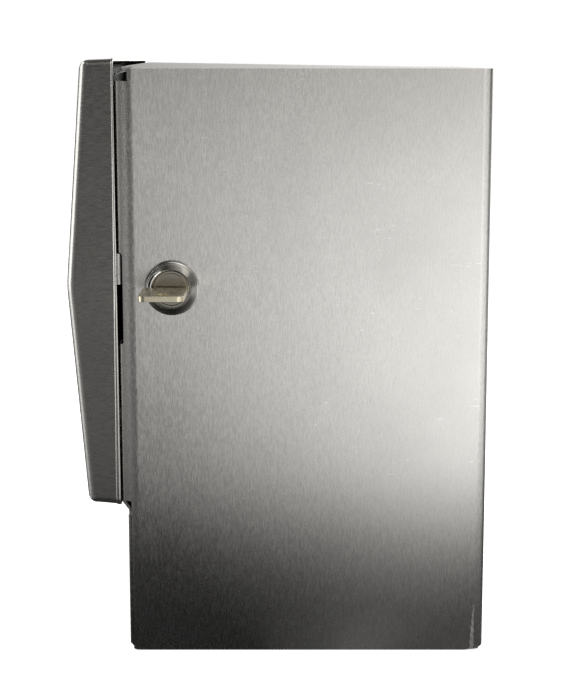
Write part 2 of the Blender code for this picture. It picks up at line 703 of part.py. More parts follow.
def key():
    """Flat key: a cut blade in the plug and an offset bow outside."""
    edge = KEY_BLADE_HALF
    tip = KEYWAY_END + MM
    shoulder = PLUG_FACE + 1.6 * MM
    blade = [(tip, -1.6 * MM), (tip + 2.6 * MM, -edge), (shoulder + 3 * MM, -edge), (shoulder + 3 * MM, edge)]
    pitch = 3.7 * MM
    for k in range(4):
        x = SIDE + 3 * MM - k * pitch
        depth = (1.2, 0.6, 1.6, 0.9)[k] * MM
        blade += [(x, edge), (x - 1.2 * MM, edge - depth), (x - 2.2 * MM, edge - depth), (x - 3.2 * MM, edge)]
    blade += [(tip + 2.6 * MM, edge), (tip, 1.6 * MM)]
    blade = [(x, LOCK.y + y) for x, y in blade]
    thin = 0.75 * MM
    obj = finish(prism(blade, "Z", LOCK.z - thin, LOCK.z + thin), "key", nickel())
    low = (shoulder, LOCK.y - 10.8 * MM)
    high = (KEY_BOW_END, LOCK.y + 6.8 * MM)
    bow = rounded_outline(low, high, (3 * MM, 2.4 * MM, 2.4 * MM, 2.4 * MM))
    thick = 1.05 * MM
    join(obj, prism(bow, "Z", LOCK.z - thick, LOCK.z + thick))
    hole = circle((KEY_BOW_END - 5.5 * MM, LOCK.y - 2 * MM), 2.6 * MM, 20)
    cut(obj, prism(hole, "Z", LOCK.z - 3 * MM, LOCK.z + 3 * MM))
    return obj


def coin_funnel():
    """Sheet funnel hung under the top: it gathers what is dropped through the slot into the bin."""
    top = ((-84 * MM, FRONT + 1.8 * MM), (84 * MM, -58 * MM))
    bottom = ((-50 * MM, -61 * MM), (50 * MM, -40 * MM))
    bm = bmesh.new()
    loops = []
    for (low, high), z in ((top, FUNNEL_TOP), (bottom, FUNNEL_BOTTOM)):
        for wall in (0, SHEET):
            corners = [(low[0] + wall, low[1] + wall), (high[0] - wall, low[1] + wall)]
            corners += [(high[0] - wall, high[1] - wall), (low[0] + wall, high[1] - wall)]
            loops.append([bm.verts.new((x, y, z)) for x, y in corners])
    outer_top, inner_top, outer_bottom, inner_bottom = loops
    for first, second in (
        (outer_top, outer_bottom),
        (inner_top, inner_bottom),
        (outer_top, inner_top),
        (outer_bottom, inner_bottom),
    ):
        for i in range(4):
            j = (i + 1) % 4
            bm.faces.new((first[i], first[j], second[j], second[i]))
    funnel = finish(bm, "coin_funnel", satin_steel())
    join(funnel, box((-70 * MM, -58.6 * MM, FUNNEL_TOP - SHEET), (70 * MM, -42 * MM, FUNNEL_TOP)))
    for x in (-STUD_X, STUD_X):
        cut(funnel, prism(circle((x, STUD_Y), 2.3 * MM, 16), "Z", FUNNEL_TOP - 4 * MM, FUNNEL_TOP + 4 * MM))
    return funnel


def funnel_stud(number, x):
    """Stud welded under the top plate."""
    top = HEIGHT - SHEET - GAP + crown(abs(x) + 3 * MM, STUD_Y + 3 * MM)
    shank = prism(circle((x, STUD_Y), 1.95 * MM, 16), "Z", top - 12 * MM, top)
    stud = finish(shank, f"funnel_stud_{number}", bright_steel())
    join(stud, prism(circle((x, STUD_Y), 3 * MM, 16), "Z", top - 0.8 * MM, top))
    return stud


def funnel_nut(number, x):
    """Nut that holds the funnel's flange on its stud."""
    top = FUNNEL_TOP - SHEET - GAP
    nut = finish(prism(circle((x, STUD_Y), 4 * MM, 6), "Z", top - 3.2 * MM, top), f"funnel_nut_{number}", zinc())
    cut(nut, prism(circle((x, STUD_Y), 2.3 * MM, 16), "Z", top - 6 * MM, top + 2 * MM))
    return nut


def cash_bin():
    """Open bin that stands in the bottom pan and lifts out over the sill."""
    radii = (4 * MM,) * 4
    inner_radii = (4 * MM - BIN_WALL,) * 4
    outside = rounded_outline((-BIN_HALF, BIN_FRONT), (BIN_HALF, BIN_BACK), radii, 3)
    obj = finish(prism(outside, "Z", BIN_BASE, BIN_TOP), "cash_bin", bright_steel())
    low = (-BIN_HALF + BIN_WALL, BIN_FRONT + BIN_WALL)
    high = (BIN_HALF - BIN_WALL, BIN_BACK - BIN_WALL)
    cut(obj, prism(rounded_outline(low, high, inner_radii, 3), "Z", BIN_BASE + BIN_WALL, BIN_TOP + 3 * MM))
    for side in (-1, 1):
        near, far = sorted((side * (BIN_HALF - 4 * MM), side * (BIN_HALF + 4 * MM)))
        cut(obj, prism(circle((0, EAR_RIVET_Z), RIVET_HOLE, 12), "X", near, far))
    return obj


EAR_RIVET_Z = 82 * MM


def bail_ear(name, side):
    """Small plate riveted to the bin's wall; the bail's end turns in its upper hole."""
    half = 6 * MM
    foot = 77 * MM
    outline = [(-half, foot), (half, foot)]
    outline += [(half * cos(a), BAIL_Z + half * sin(a)) for a in [pi * k / 8 for k in range(9)]]
    near, far = sorted((side * (BIN_HALF + GAP), side * (BIN_HALF + GAP + SHEET)))
    ear = finish(prism(outline, "X", near, far), name, bright_steel())
    for z, radius in ((EAR_RIVET_Z, RIVET_HOLE), (BAIL_Z, BAIL_WIRE + GAP)):
        cut(ear, prism(circle((0, z), radius, 16), "X", near - 2 * MM, far + 2 * MM))
    return ear


def bin_bail():
    """Wire handle, folded forward over the bin."""
    corner = 6 * MM
    tight = 2.2 * MM
    points = [Vector((-BIN_HALF + 3 * MM, 0, BAIL_Z)), Vector((-BAIL_HALF + tight, 0, BAIL_Z))]
    points += arc_points((-BAIL_HALF + tight, -tight), tight, pi / 2, pi)
    points += arc_points((-BAIL_HALF + corner, -BAIL_ARM + corner), corner, pi, 3 * pi / 2)
    points += [Vector((-p.x, p.y, p.z)) for p in reversed(points)]
    curve = bpy.data.curves.new("bin_bail", "CURVE")
    curve.dimensions = "3D"
    curve.bevel_depth = BAIL_WIRE
    curve.bevel_resolution = 2
    curve.use_fill_caps = True
    spline = curve.splines.new("POLY")
    spline.points.add(len(points) - 1)
    for slot, point in zip(spline.points, points):
        slot.co = (*point, 1)
    curve.materials.append(bright_steel())
    bail = bpy.data.objects.new("bin_bail", curve)
    bpy.context.scene.collection.objects.link(bail)
    return bail


def arc_points(centre, radius, start, end, steps=5):
    """Points on an arc in the plane of the folded bail, leaving out its first one."""
    angles = [start + (end - start) * k / steps for k in range(1, steps + 1)]
    return [Vector((centre[0] + radius * cos(a), centre[1] + radius * sin(a), BAIL_Z)) for a in angles]


def clear_scene():
    for obj in list(bpy.data.objects):
        bpy.data.objects.remove(obj, do_unlink=True)


def build():
    clear_scene()
    body_shell()
    bottom_pan()
    hinge_leaf_body()
    hinge_pin()
    for i, z in enumerate(RIVET_HEIGHTS, 1):
        head = FRONT - GAP - LEAF - GAP
        rivet(f"hinge_rivet_body_{i}", (BODY_RIVET_X, z), "Y", head, FRONT + SHEET + GAP)
    lock_housing()
    lock_washer()
    lock_nut()
    coin_funnel()
    for i, x in enumerate((-STUD_X, STUD_X), 1):
        funnel_stud(i, x)
        funnel_nut(i, x)

    door_pieces = [door_pan(), latch_strike(), hinge_leaf_door()]
    for i, z in enumerate(RIVET_HEIGHTS, 1):
        head = -DOOR_HALF - GAP
        tail = DOOR_LEAF_INNER + GAP
        door_pieces.append(rivet(f"hinge_rivet_door_{i}", (DOOR_RIVET_Y, z), "X", head, tail))
    hang(door_pieces, axis_empty("door_axis", HINGE))

    lock_axis = axis_empty("lock_axis", LOCK)
    turning = [lock_plug(), lock_cam(), cam_washer(), cam_screw()]
    turning += [lock_wafer(i, x) for i, x in enumerate(WAFER_STATIONS, 1)]
    hang(turning, lock_axis)
    hang([key()], axis_empty("key_axis", LOCK, lock_axis))

    bin_axis = axis_empty("bin_axis", (0, 0, BIN_BASE))
    bin_pieces = [cash_bin()]
    for name, side in (("left", -1), ("right", 1)):
        bin_pieces.append(bail_ear(f"bail_ear_{name}", side))
        head = side * (BIN_HALF + GAP + SHEET + GAP)
        tail = side * (BIN_HALF - BIN_WALL - GAP)
        bin_pieces.append(rivet(f"ear_rivet_{name}", (0, EAR_RIVET_Z), "X", head, tail))
    hang(bin_pieces, bin_axis)
    hang([bin_bail()], axis_empty("bail_axis", (0, 0, BAIL_Z), bin_axis))


build()
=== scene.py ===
from math import cos, pi, radians, sin, sqrt, tan

import bmesh
import bpy
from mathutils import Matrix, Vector


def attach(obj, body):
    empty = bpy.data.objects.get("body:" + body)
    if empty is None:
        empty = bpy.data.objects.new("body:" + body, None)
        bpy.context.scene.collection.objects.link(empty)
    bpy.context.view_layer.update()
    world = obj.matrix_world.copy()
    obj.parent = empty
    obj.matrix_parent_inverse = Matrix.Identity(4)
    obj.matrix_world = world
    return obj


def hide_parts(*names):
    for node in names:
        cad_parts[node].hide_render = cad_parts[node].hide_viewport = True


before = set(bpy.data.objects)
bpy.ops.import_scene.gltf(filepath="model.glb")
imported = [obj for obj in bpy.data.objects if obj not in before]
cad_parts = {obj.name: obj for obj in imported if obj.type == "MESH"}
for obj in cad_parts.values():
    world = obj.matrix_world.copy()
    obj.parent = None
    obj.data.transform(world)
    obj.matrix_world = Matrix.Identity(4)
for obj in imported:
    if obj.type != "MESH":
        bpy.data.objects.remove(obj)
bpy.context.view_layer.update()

MM = 0.001

# ---------------------------------------------------------------------------------------------------
# Where the box stands: a pale floor without a visible edge, and a camera level with the top of the
# box that looks straight at its lock side and a little down.

scene = bpy.context.scene
scene.view_settings.view_transform = "Standard"

CAMERA_AT = Vector((0.740, -0.0027, 0.2435))
CAMERA_TILT = radians(10.1)
camera_data = bpy.data.cameras.new("camera")
camera_data.sensor_width = 36
camera_data.lens = 83.9
camera_data.shift_x = -0.02
camera = bpy.data.objects.new("camera", camera_data)
camera.location = CAMERA_AT
looking = Vector((-cos(CAMERA_TILT), 0, -sin(CAMERA_TILT)))
camera.rotation_mode = "QUATERNION"
camera.rotation_quaternion = looking.to_track_quat("-Z", "Y")
scene.collection.objects.link(camera)
scene.camera = camera

FLOOR_HALF = 6.0
floor_mesh = bpy.data.meshes.new("floor")
corners = [(x * FLOOR_HALF, y * FLOOR_HALF) for x, y in ((-1, -1), (1, -1), (1, 1), (-1, 1))]
floor_mesh.from_pydata([(x, y, -0.0004) for x, y in corners], [], [(0, 1, 2, 3)])
floor = bpy.data.objects.new("floor", floor_mesh)
scene.collection.objects.link(floor)

floor_paint = bpy.data.materials.new("pale_floor")
floor_paint.use_nodes = True
floor_tree = floor_paint.node_tree
paint = floor_tree.nodes["Principled BSDF"]
paint.inputs["Base Color"].default_value = (0.9, 0.9, 0.9, 1)
paint.inputs["Roughness"].default_value = 0.9
paint.inputs["Emission Color"].default_value = (1, 1, 1, 1)
paint.inputs["Emission Strength"].default_value = 0.75
floor_mesh.materials.append(floor_paint)


def wire(tree, start, end):
    """Joins one socket to another."""
    tree.links.new(start, end)


def maths(tree, operation, *values):
    """A math node over sockets and plain numbers; its value is returned."""
    node = tree.nodes.new("ShaderNodeMath")
    node.operation = operation
    for slot, value in zip(node.inputs, values):
        if isinstance(value, (int, float)):
            slot.default_value = value
        else:
            wire(tree, value, slot)
    return node.outputs[0]


def graded(tree, value, stops):
    """A value led through (value, result) stops; results may run up to 3."""
    low, high = stops[0][0], stops[-1][0]
    node = tree.nodes.new("ShaderNodeValToRGB")
    wire(tree, maths(tree, "MULTIPLY_ADD", value, 1 / (high - low), -low / (high - low)),
         node.inputs["Fac"])
    elements = node.color_ramp.elements
    while len(elements) < len(stops):
        elements.new(0.5)
    for element, (at, result) in zip(elements, stops):
        element.position = (at - low) / (high - low)
        element.color = (result / 3, result / 3, result / 3, 1)
    return maths(tree, "MULTIPLY", node.outputs["Color"], 3)


SIDE_LIGHT = [
    (-1, 1.6), (-0.96, 1.1), (-0.92, 0.4), (-0.6, 0.17), (-0.3, 0.11), (-0.2, 0.22), (-0.13, 0.62), (0, 1.05),
    (0.1, 1.4), (0.2, 2.15), (0.3, 2.2), (0.45, 1.4), (0.9, 1.35), (0.96, 0.6), (1, 0.6),
]
BACK_LIGHT = [(-1, 1.2), (-0.92, 1.15), (-0.6, 0.45), (-0.1, 0.35), (0.1, 1.0), (1, 1.0)]
# To glossy rays the floor glows instead: painted shade, dim close to the box and brighter away from it, graded
# by side and back like the sky.
floor_place = floor_tree.nodes.new("ShaderNodeTexCoord").outputs["Object"]
floor_parts = floor_tree.nodes.new("ShaderNodeSeparateXYZ")
wire(floor_tree, floor_place, floor_parts.inputs[0])
floor_length = floor_tree.nodes.new("ShaderNodeVectorMath")
floor_length.operation = "LENGTH"
wire(floor_tree, floor_place, floor_length.inputs[0])
away = floor_length.outputs["Value"]
leaning = maths(floor_tree, "MULTIPLY_ADD", floor_parts.outputs["Y"], -0.03, away)
toward_back = maths(floor_tree, "DIVIDE", floor_parts.outputs["Y"], away)
floor_painted_shade = graded(floor_tree, maths(floor_tree, "LOGARITHM", maths(floor_tree, "MAXIMUM", leaning, 0.01),
                                      10), [
    (-1.3, 0.05), (-0.82, 0.05), (-0.7, 0.09), (-0.6, 0.18), (-0.5, 0.36), (-0.4, 0.6), (-0.2, 0.86),
    (0, 0.9), (0.35, 0.88), (0.7, 0.72), (1, 0.68),
])
floor_side = graded(floor_tree, toward_back, SIDE_LIGHT)
floor_behind = graded(floor_tree, maths(floor_tree, "DIVIDE", floor_parts.outputs["X"], away), BACK_LIGHT)
floor_side = maths(floor_tree, "MULTIPLY", floor_side, floor_behind)
mirrored = floor_tree.nodes.new("ShaderNodeEmission")
wire(floor_tree, maths(floor_tree, "MULTIPLY", floor_painted_shade, floor_side), mirrored.inputs["Strength"])
floor_path = floor_tree.nodes.new("ShaderNodeLightPath")
floor_mix = floor_tree.nodes.new("ShaderNodeMixShader")
wire(floor_tree, floor_path.outputs["Is Glossy Ray"], floor_mix.inputs[0])
wire(floor_tree, paint.outputs[0], floor_mix.inputs[1])
wire(floor_tree, mirrored.outputs[0], floor_mix.inputs[2])
wire(floor_tree, floor_mix.outputs[0], floor_tree.nodes["Material Output"].inputs["Surface"])

# ---------------------------------------------------------------------------------------------------
# Soft studio light: a graded surround that is brighter toward the back of the box, with a bright band
# well above the horizon and another low behind the box. One large lamp hangs overhead, and two stand
# before the door and draw the highlights along its edges.

world = bpy.data.worlds.new("studio")
scene.world = world
world.use_nodes = True
sky = world.node_tree
sky.nodes.clear()

sky_place = sky.nodes.new("ShaderNodeTexCoord")
sky_parts = sky.nodes.new("ShaderNodeSeparateXYZ")
wire(sky, sky_place.outputs["Generated"], sky_parts.inputs[0])
sky_shade = graded(sky, sky_parts.outputs["Z"], [
    (-1, 0.1), (-0.05, 0.66), (0.0, 0.64), (0.05, 0.42), (0.1, 0.34), (0.5, 0.34), (0.64, 1.3), (0.78, 1.6),
    (0.87, 0.6), (0.95, 0.4), (1, 0.4),
])
sky_side = graded(sky, sky_parts.outputs["Y"], SIDE_LIGHT)
sky_back = graded(sky, sky_parts.outputs["X"], [
    (-1, 2.4), (-0.95, 2.0), (-0.85, 1.1), (-0.6, 0.45), (-0.2, 0.35), (0.1, 0.5), (0.4, 1), (1, 1),
])
sky_level = maths(sky, "MULTIPLY", maths(sky, "MULTIPLY", sky_shade, sky_side), sky_back)
sky_tint = sky.nodes.new("ShaderNodeVectorMath")
sky_tint.operation = "SCALE"
sky_tint.inputs[0].default_value = (1, 0.99, 0.97)
wire(sky, sky_level, sky_tint.inputs["Scale"])
sky_path = sky.nodes.new("ShaderNodeLightPath")
backdrop = sky.nodes.new("ShaderNodeMix")
backdrop.data_type = "RGBA"
wire(sky, sky_path.outputs["Is Camera Ray"], backdrop.inputs[0])
wire(sky, sky_tint.outputs[0], backdrop.inputs[6])
backdrop.inputs[7].default_value = (1, 1, 1, 1)
sky_light = sky.nodes.new("ShaderNodeBackground")
wire(sky, backdrop.outputs[2], sky_light.inputs["Color"])
sky_out = sky.nodes.new("ShaderNodeOutputWorld")
wire(sky, sky_light.outputs[0], sky_out.inputs["Surface"])


def soft_lamp(name, at, toward, width, height, power):
    """A rectangular area lamp that faces a point."""
    data = bpy.data.lights.new(name, "AREA")
    data.shape = "RECTANGLE"
    data.size = width
    data.size_y = height
    data.energy = power
    lamp = bpy.data.objects.new(name, data)
    lamp.location = at
    lamp.rotation_mode = "QUATERNION"
    lamp.rotation_quaternion = (Vector(toward) - Vector(at)).to_track_quat("-Z", "Y")
    scene.collection.objects.link(lamp)
    return lamp


MIDDLE = (0, 0, 0.12)
overhead = soft_lamp("overhead_lamp", (0.1, 0.1, 1.3), MIDDLE, 1.4, 1.4, 11)
overhead.visible_glossy = False
soft_lamp("front_lamp", (-0.03, -0.985, 0.20), MIDDLE, 0.74, 1.1, 3.8)
soft_lamp("high_lamp", (-0.05, -0.95, 0.95), MIDDLE, 0.8, 0.5, 3.2)

# ---------------------------------------------------------------------------------------------------
# The finish of the sheet: stainless steel, brushed in one direction by the mill and left bare, with
# the odd scuff from handling. The body's grain runs up and down and the door's runs across.

def new_group(name, inputs, outputs):
    """A shader node group. An input is (name, type, default) and an output is (name, type)."""
    tree = bpy.data.node_groups.new(name, "ShaderNodeTree")
    for label, kind, value in inputs:
        socket = tree.interface.new_socket(label, in_out="INPUT", socket_type=kind)
        if value is not None:
            socket.default_value = value
    for label, kind in outputs:
        tree.interface.new_socket(label, in_out="OUTPUT", socket_type=kind)
    return tree, tree.nodes.new("NodeGroupInput"), tree.nodes.new("NodeGroupOutput")


def noise(tree, vector, scale, detail=2.0, rough=0.5):
    """A noise texture; its value is returned."""
    node = tree.nodes.new("ShaderNodeTexNoise")
    wire(tree, vector, node.inputs["Vector"])
    node.inputs["Scale"].default_value = scale
    node.inputs["Detail"].default_value = detail
    node.inputs["Roughness"].default_value = rough
    return node.outputs["Fac"]


def stretched(tree, vector, scale):
    """Coordinates scaled by a different amount along each axis."""
    node = tree.nodes.new("ShaderNodeMapping")
    wire(tree, vector, node.inputs["Vector"])
    node.inputs["Scale"].default_value = scale
    return node.outputs["Vector"]


def mapped(tree, value, low, high, to_low, to_high):
    """A value moved from one range to another, held at the ends."""
    node = tree.nodes.new("ShaderNodeMapRange")
    wire(tree, value, node.inputs["Value"])
    for label, number in (("From Min", low), ("From Max", high), ("To Min", to_low), ("To Max", to_high)):
        node.inputs[label].default_value = number
    return node.outputs[0]


def brush_grain_group():
    """Streaks left by a belt. Vector is already stretched along the grain; Fine and Coarse are streaks, and
    Cloud is the slow unevenness of the pass."""
    tree, into, out = new_group(
        "brush_grain",
        [("Streaks", "NodeSocketVector", None), ("Place", "NodeSocketVector", None)],
        [("Fine", "NodeSocketFloat"), ("Coarse", "NodeSocketFloat"), ("Cloud", "NodeSocketFloat")],
    )
    wire(tree, noise(tree, into.outputs["Streaks"], 2500, 2, 0.6), out.inputs["Fine"])
    wire(tree, noise(tree, into.outputs["Streaks"], 900, 2, 0.6), out.inputs["Coarse"])
    wire(tree, noise(tree, into.outputs["Place"], 22, 3, 0.55), out.inputs["Cloud"])
    return tree


def scuff_group():
    """Sparse short scratches and faint smears, as a mask from 0 to 1."""
    tree, into, out = new_group(
        "scuffs",
        [("Place", "NodeSocketVector", None), ("Amount", "NodeSocketFloat", 0.5)],
        [("Scratches", "NodeSocketFloat"), ("Smears", "NodeSocketFloat")],
    )
    place = into.outputs["Place"]
    lines = noise(tree, stretched(tree, place, (40, 260, 1500)), 1, 1, 0.3)
    sparse = noise(tree, place, 70, 1, 0.3)
    thin = mapped(tree, lines, 0.70, 0.76, 0, 1)
    where = mapped(tree, sparse, 0.58, 0.66, 0, 1)
    mask = maths(tree, "MULTIPLY", maths(tree, "MULTIPLY", thin, where), into.outputs["Amount"])
    wire(tree, mask, out.inputs["Scratches"])
    smear = noise(tree, stretched(tree, place, (30, 30, 14)), 1, 4, 0.6)
    wire(tree, mapped(tree, smear, 0.5, 0.75, 0, 1), out.inputs["Smears"])
    return tree


brush_grain = brush_grain_group()
scuffs = scuff_group()


def metal(name, colour, roughness, anisotropic=0.0, turn=0.0):
    """A metal's material, its node tree and its shader."""
    made = bpy.data.materials.new(name)
    made.use_nodes = True
    shader = made.node_tree.nodes["Principled BSDF"]
    shader.inputs["Base Color"].default_value = (*colour, 1)
    shader.inputs["Metallic"].default_value = 1
    shader.inputs["Roughness"].default_value = roughness
    shader.inputs["Anisotropic"].default_value = anisotropic
    shader.inputs["Anisotropic Rotation"].default_value = turn
    return made, made.node_tree, shader


def shaded_mix(tree, factor, first, second):
    """A colour between two colours; either may be a socket."""
    node = tree.nodes.new("ShaderNodeMix")
    node.data_type = "RGBA"
    for slot, value in ((node.inputs[0], factor), (node.inputs[6], first), (node.inputs[7], second)):
        if isinstance(value, tuple):
            slot.default_value = (*value, 1)
        elif isinstance(value, (int, float)):
            slot.default_value = value
        else:
            wire(tree, value, slot)
    return node.outputs[2]


def brushed(name, colour, roughness, grain, contrast=0.16, depth=0.25, anisotropic=0.7, turn=0.0,
            scuffing=0.5):
    """Brushed sheet. grain is the scale along each axis: small along the grain and 1 across it."""
    made, tree, shader = metal(name, colour, roughness, anisotropic, turn)
    place = tree.nodes.new("ShaderNodeTexCoord").outputs["Object"]
    belt = tree.nodes.new("ShaderNodeGroup")
    belt.node_tree = brush_grain
    wire(tree, stretched(tree, place, grain), belt.inputs["Streaks"])
    wire(tree, place, belt.inputs["Place"])
    marks = tree.nodes.new("ShaderNodeGroup")
    marks.node_tree = scuffs
    wire(tree, place, marks.inputs["Place"])
    marks.inputs["Amount"].default_value = scuffing

    streak = maths(tree, "ADD", maths(tree, "MULTIPLY", belt.outputs["Fine"], 0.85),
                   maths(tree, "MULTIPLY", belt.outputs["Coarse"], 0.15))
    streak = mapped(tree, streak, 0.36, 0.64, 0, 1)
    low = tuple(c * (1 - contrast) for c in colour)
    high = tuple(min(c * (1 + contrast), 1) for c in colour)
    base = shaded_mix(tree, streak, low, high)
    smeared = maths(tree, "MULTIPLY", marks.outputs["Smears"], 0.25)
    base = shaded_mix(tree, smeared, base, tuple(c * 0.8 for c in colour))
    base = shaded_mix(tree, marks.outputs["Scratches"], base, (0.85, 0.84, 0.82))
    wire(tree, base, shader.inputs["Base Color"])
    cloud = maths(tree, "MULTIPLY_ADD", belt.outputs["Cloud"], 0.12, roughness - 0.06)
    rough = maths(tree, "MULTIPLY_ADD", streak, 0.08, cloud)
    wire(tree, rough, shader.inputs["Roughness"])
    bump = tree.nodes.new("ShaderNodeBump")
    bump.inputs["Strength"].default_value = depth
    bump.inputs["Distance"].default_value = 0.02 * MM
    wire(tree, streak, bump.inputs["Height"])
    wire(tree, bump.outputs["Normal"], shader.inputs["Normal"])
    return made


upright_grain = brushed("brushed_steel_upright", (0.62, 0.607, 0.58), 0.21, (1, 1, 0.17), 0.115, 0.12,
                        anisotropic=0.8)
across_grain = brushed("brushed_steel_across", (0.62, 0.607, 0.58), 0.24, (0.17, 1, 1), 0.115, 0.12,
                       anisotropic=0.0)
level_grain = brushed("brushed_steel_level", (0.58, 0.567, 0.54), 0.24, (0.12, 0.12, 1), 0.07, 0.03,
                      anisotropic=0.4,
                      turn=0.25)
mill_steel = brushed("mill_steel", (0.55, 0.55, 0.54), 0.34, (0.3, 0.3, 1), 0.07, 0.1, 0.2, scuffing=1.0)
# Inside faces: near-black steel as painted shade for the closed inside; the real inside is the same bare
# stainless steel.
painted_shade_inside = brushed("painted_shade_inside", (0.11, 0.11, 0.107), 0.42, (0.3, 0.3, 1), 0.07, 0.1, 0.0,
                      scuffing=0.25)

# ---------------------------------------------------------------------------------------------------
# The body: sides, back and top folded from one blank of 1.2 mm sheet, with flanges beside the door.
# Its top corners are relieved, its top is crowned and stops short of the door in a crescent, and the
# back corners are welded and ground flush.

SHEET = 1.2 * MM
SIDE = 89 * MM
FRONT = -75 * MM
BACK = 75 * MM
HEIGHT = 240 * MM
BACK_BEND = 4.2 * MM
TOP_BEND = 4.6 * MM
FLANGE_BOTTOM = 64 * MM
FLANGE_TOP = 235 * MM
OPENING_HALF = 63 * MM
WALL_FRONT = FRONT + 2.6 * MM
CROWN = 2.4 * MM
LOCK = Vector((SIDE, FRONT + 22 * MM, 153 * MM))


def finish(bm, name, surface=None):
    """A linked object made from a bmesh, with smooth faces and sharp corners."""
    bmesh.ops.remove_doubles(bm, verts=bm.verts, dist=1e-7)
    bmesh.ops.recalc_face_normals(bm, faces=bm.faces)
    mesh = bpy.data.meshes.new(name)
    bm.to_mesh(mesh)
    bm.free()
    mesh.shade_smooth()
    mesh.set_sharp_from_angle(angle=radians(32))
    obj = bpy.data.objects.new(name, mesh)
    scene.collection.objects.link(obj)
    if surface:
        mesh.materials.append(surface)
    return obj


def prism(outline, axis, start, end):
    """A closed prism of an outline along an axis. The outline's two numbers are the other two axes in order."""
    bm = bmesh.new()
    rings = []
    for level in (start, end):
        places = {"X": lambda a, b: (level, a, b), "Y": lambda a, b: (a, level, b), "Z": lambda a,
                  b: (a, b, level)}
        rings.append([bm.verts.new(places[axis](a, b)) for a, b in outline])
    for ring in rings:
        bm.faces.new(ring)
    count = len(outline)
    for i in range(count):
        j = (i + 1) % count
        bm.faces.new((rings[0][i], rings[0][j], rings[1][j], rings[1][i]))
    return bm


def box(low, high):
    """A closed box between two corners."""
    return prism([(low[0], low[1]), (high[0], low[1]), (high[0], high[1]), (low[0], high[1])], "Z", low[2],
                 high[2])


def circle(centre, radius, count=48, start=0.0):
    """Points round a circle in a plane."""
    turns = [start + 2 * pi * i / count for i in range(count)]
    return [(centre[0] + radius * cos(a), centre[1] + radius * sin(a)) for a in turns]


def rounded_outline(low, high, radii, steps=10):
    """A rectangle's outline, anticlockwise from its low corner, with a radius for each corner."""
    corners = ((low[0], low[1]), (high[0], low[1]), (high[0], high[1]), (low[0], high[1]))
    inward = ((1, 1), (-1, 1), (-1, -1), (1, -1))
    points = []
    for i, (corner, step, radius) in enumerate(zip(corners, inward, radii)):
        centre = (corner[0] + step[0] * radius, corner[1] + step[1] * radius)
        count = steps if radius > 0 else 0
        for k in range(count + 1):
            a = pi + i * pi / 2 + (pi / 2) * (k / max(count, 1))
            points.append((centre[0] + radius * cos(a), centre[1] + radius * sin(a)))
    return points


def combine(obj, bm, operation):
    """Cuts a shape out of an object, or joins it on, and keeps the result as its mesh."""
    helper = finish(bm, "cutter")
    modifier = obj.modifiers.new("combine", "BOOLEAN")
    modifier.operation = operation
    modifier.object = helper
    modifier.solver = "EXACT"
    settle(obj)
    spent = helper.data
    bpy.data.objects.remove(helper)
    bpy.data.meshes.remove(spent)


def paint_inside_shade(obj, middle, surface):
    """Gives the faces that look toward a point another material; it puts the painted shade on the inside faces.
    """
    obj.data.materials.append(surface)
    for face in obj.data.polygons:
        if face.normal.dot(face.center - middle) < 0:
            face.material_index = 1


def cut(obj, *shapes):
    for bm in shapes:
        combine(obj, bm, "DIFFERENCE")


def join(obj, *shapes):
    for bm in shapes:
        combine(obj, bm, "UNION")


def settle(obj):
    """Replaces an object's mesh with what its modifiers make of it."""
    kept = list(obj.data.materials)
    made = bpy.data.meshes.new_from_object(obj.evaluated_get(bpy.context.evaluated_depsgraph_get()))
    old = obj.data
    obj.modifiers.clear()
    made.name = obj.name
    obj.data = made
    bpy.data.meshes.remove(old)
    if kept and not made.materials:
        for surface in kept:
            made.materials.append(surface)


def ease_edges(obj, width, segments=2, angle=38):
    """Rounds the cut edges a little, as deburring does, and settles the shading."""
    mesh = obj.data
    bm = bmesh.new()
    bm.from_mesh(mesh)
    bmesh.ops.remove_doubles(bm, verts=bm.verts, dist=1e-6)
    bmesh.ops.dissolve_degenerate(bm, edges=bm.edges, dist=1e-6)
    bm.to_mesh(mesh)
    bm.free()
    bevel = obj.modifiers.new("deburr", "BEVEL")
    bevel.width = width
    bevel.segments = segments
    bevel.limit_method = "ANGLE"
    bevel.angle_limit = radians(angle)
    bevel.use_clamp_overlap = True
    bevel.miter_outer = "MITER_ARC"
    weigh = obj.modifiers.new("weigh", "WEIGHTED_NORMAL")
    weigh.keep_sharp = True
    settle(obj)


def bevel_top(bm, height, radius, segments):
    edges = [e for e in bm.edges if all(abs(v.co.z - height) < 1e-7 for v in e.verts)]
    bmesh.ops.bevel(bm, geom=edges, offset=radius, segments=segments, profile=0.5, affect="EDGES")


def crown(x, y):
    """How far the top stands above its edges at a point."""
    across = max(0.0, 1 - (x / (SIDE - TOP_BEND)) ** 2)
    along = max(0.0, min(1.0, (BACK - TOP_BEND - y) / (BACK - FRONT)))
    return CROWN * across * along


def slice_across(bm, point, normal):
    whole = bm.verts[:] + bm.edges[:] + bm.faces[:]
    bmesh.ops.bisect_plane(bm, geom=whole, dist=1e-7, plane_co=point, plane_no=normal)


def crown_top(bm, height):
    """Divides the flat top into a grid and raises it to the crown."""
    for k in range(-11, 12):
        slice_across(bm, Vector((k * 7.5 * MM, 0, 0)), Vector((1, 0, 0)))
    for k in range(-5, 6):
        slice_across(bm, Vector((0, k * 12.5 * MM, 0)), Vector((0, 1, 0)))
    for v in bm.verts:
        if abs(v.co.z - height) < 1e-7:
            v.co.z += crown(v.co.x, v.co.y)
    bmesh.ops.triangulate(bm, faces=[f for f in bm.faces if f.calc_center_median().z > height])


def filleted(points, radii, steps=8):
    """An open line with each inner corner rounded to its radius."""
    line = [Vector(points[0])]
    for before_it, corner, after_it, radius in zip(points, points[1:], points[2:], radii):
        corner = Vector(corner)
        into = (corner - Vector(before_it)).normalized()
        out = (Vector(after_it) - corner).normalized()
        reach = radius * tan(into.angle(out) / 2)
        for k in range(steps + 1):
            share = k / steps
            first = (corner - into * reach).lerp(corner, share)
            second = corner.lerp(corner + out * reach, share)
            line.append(first.lerp(second, share))
    line.append(Vector(points[-1]))
    return line


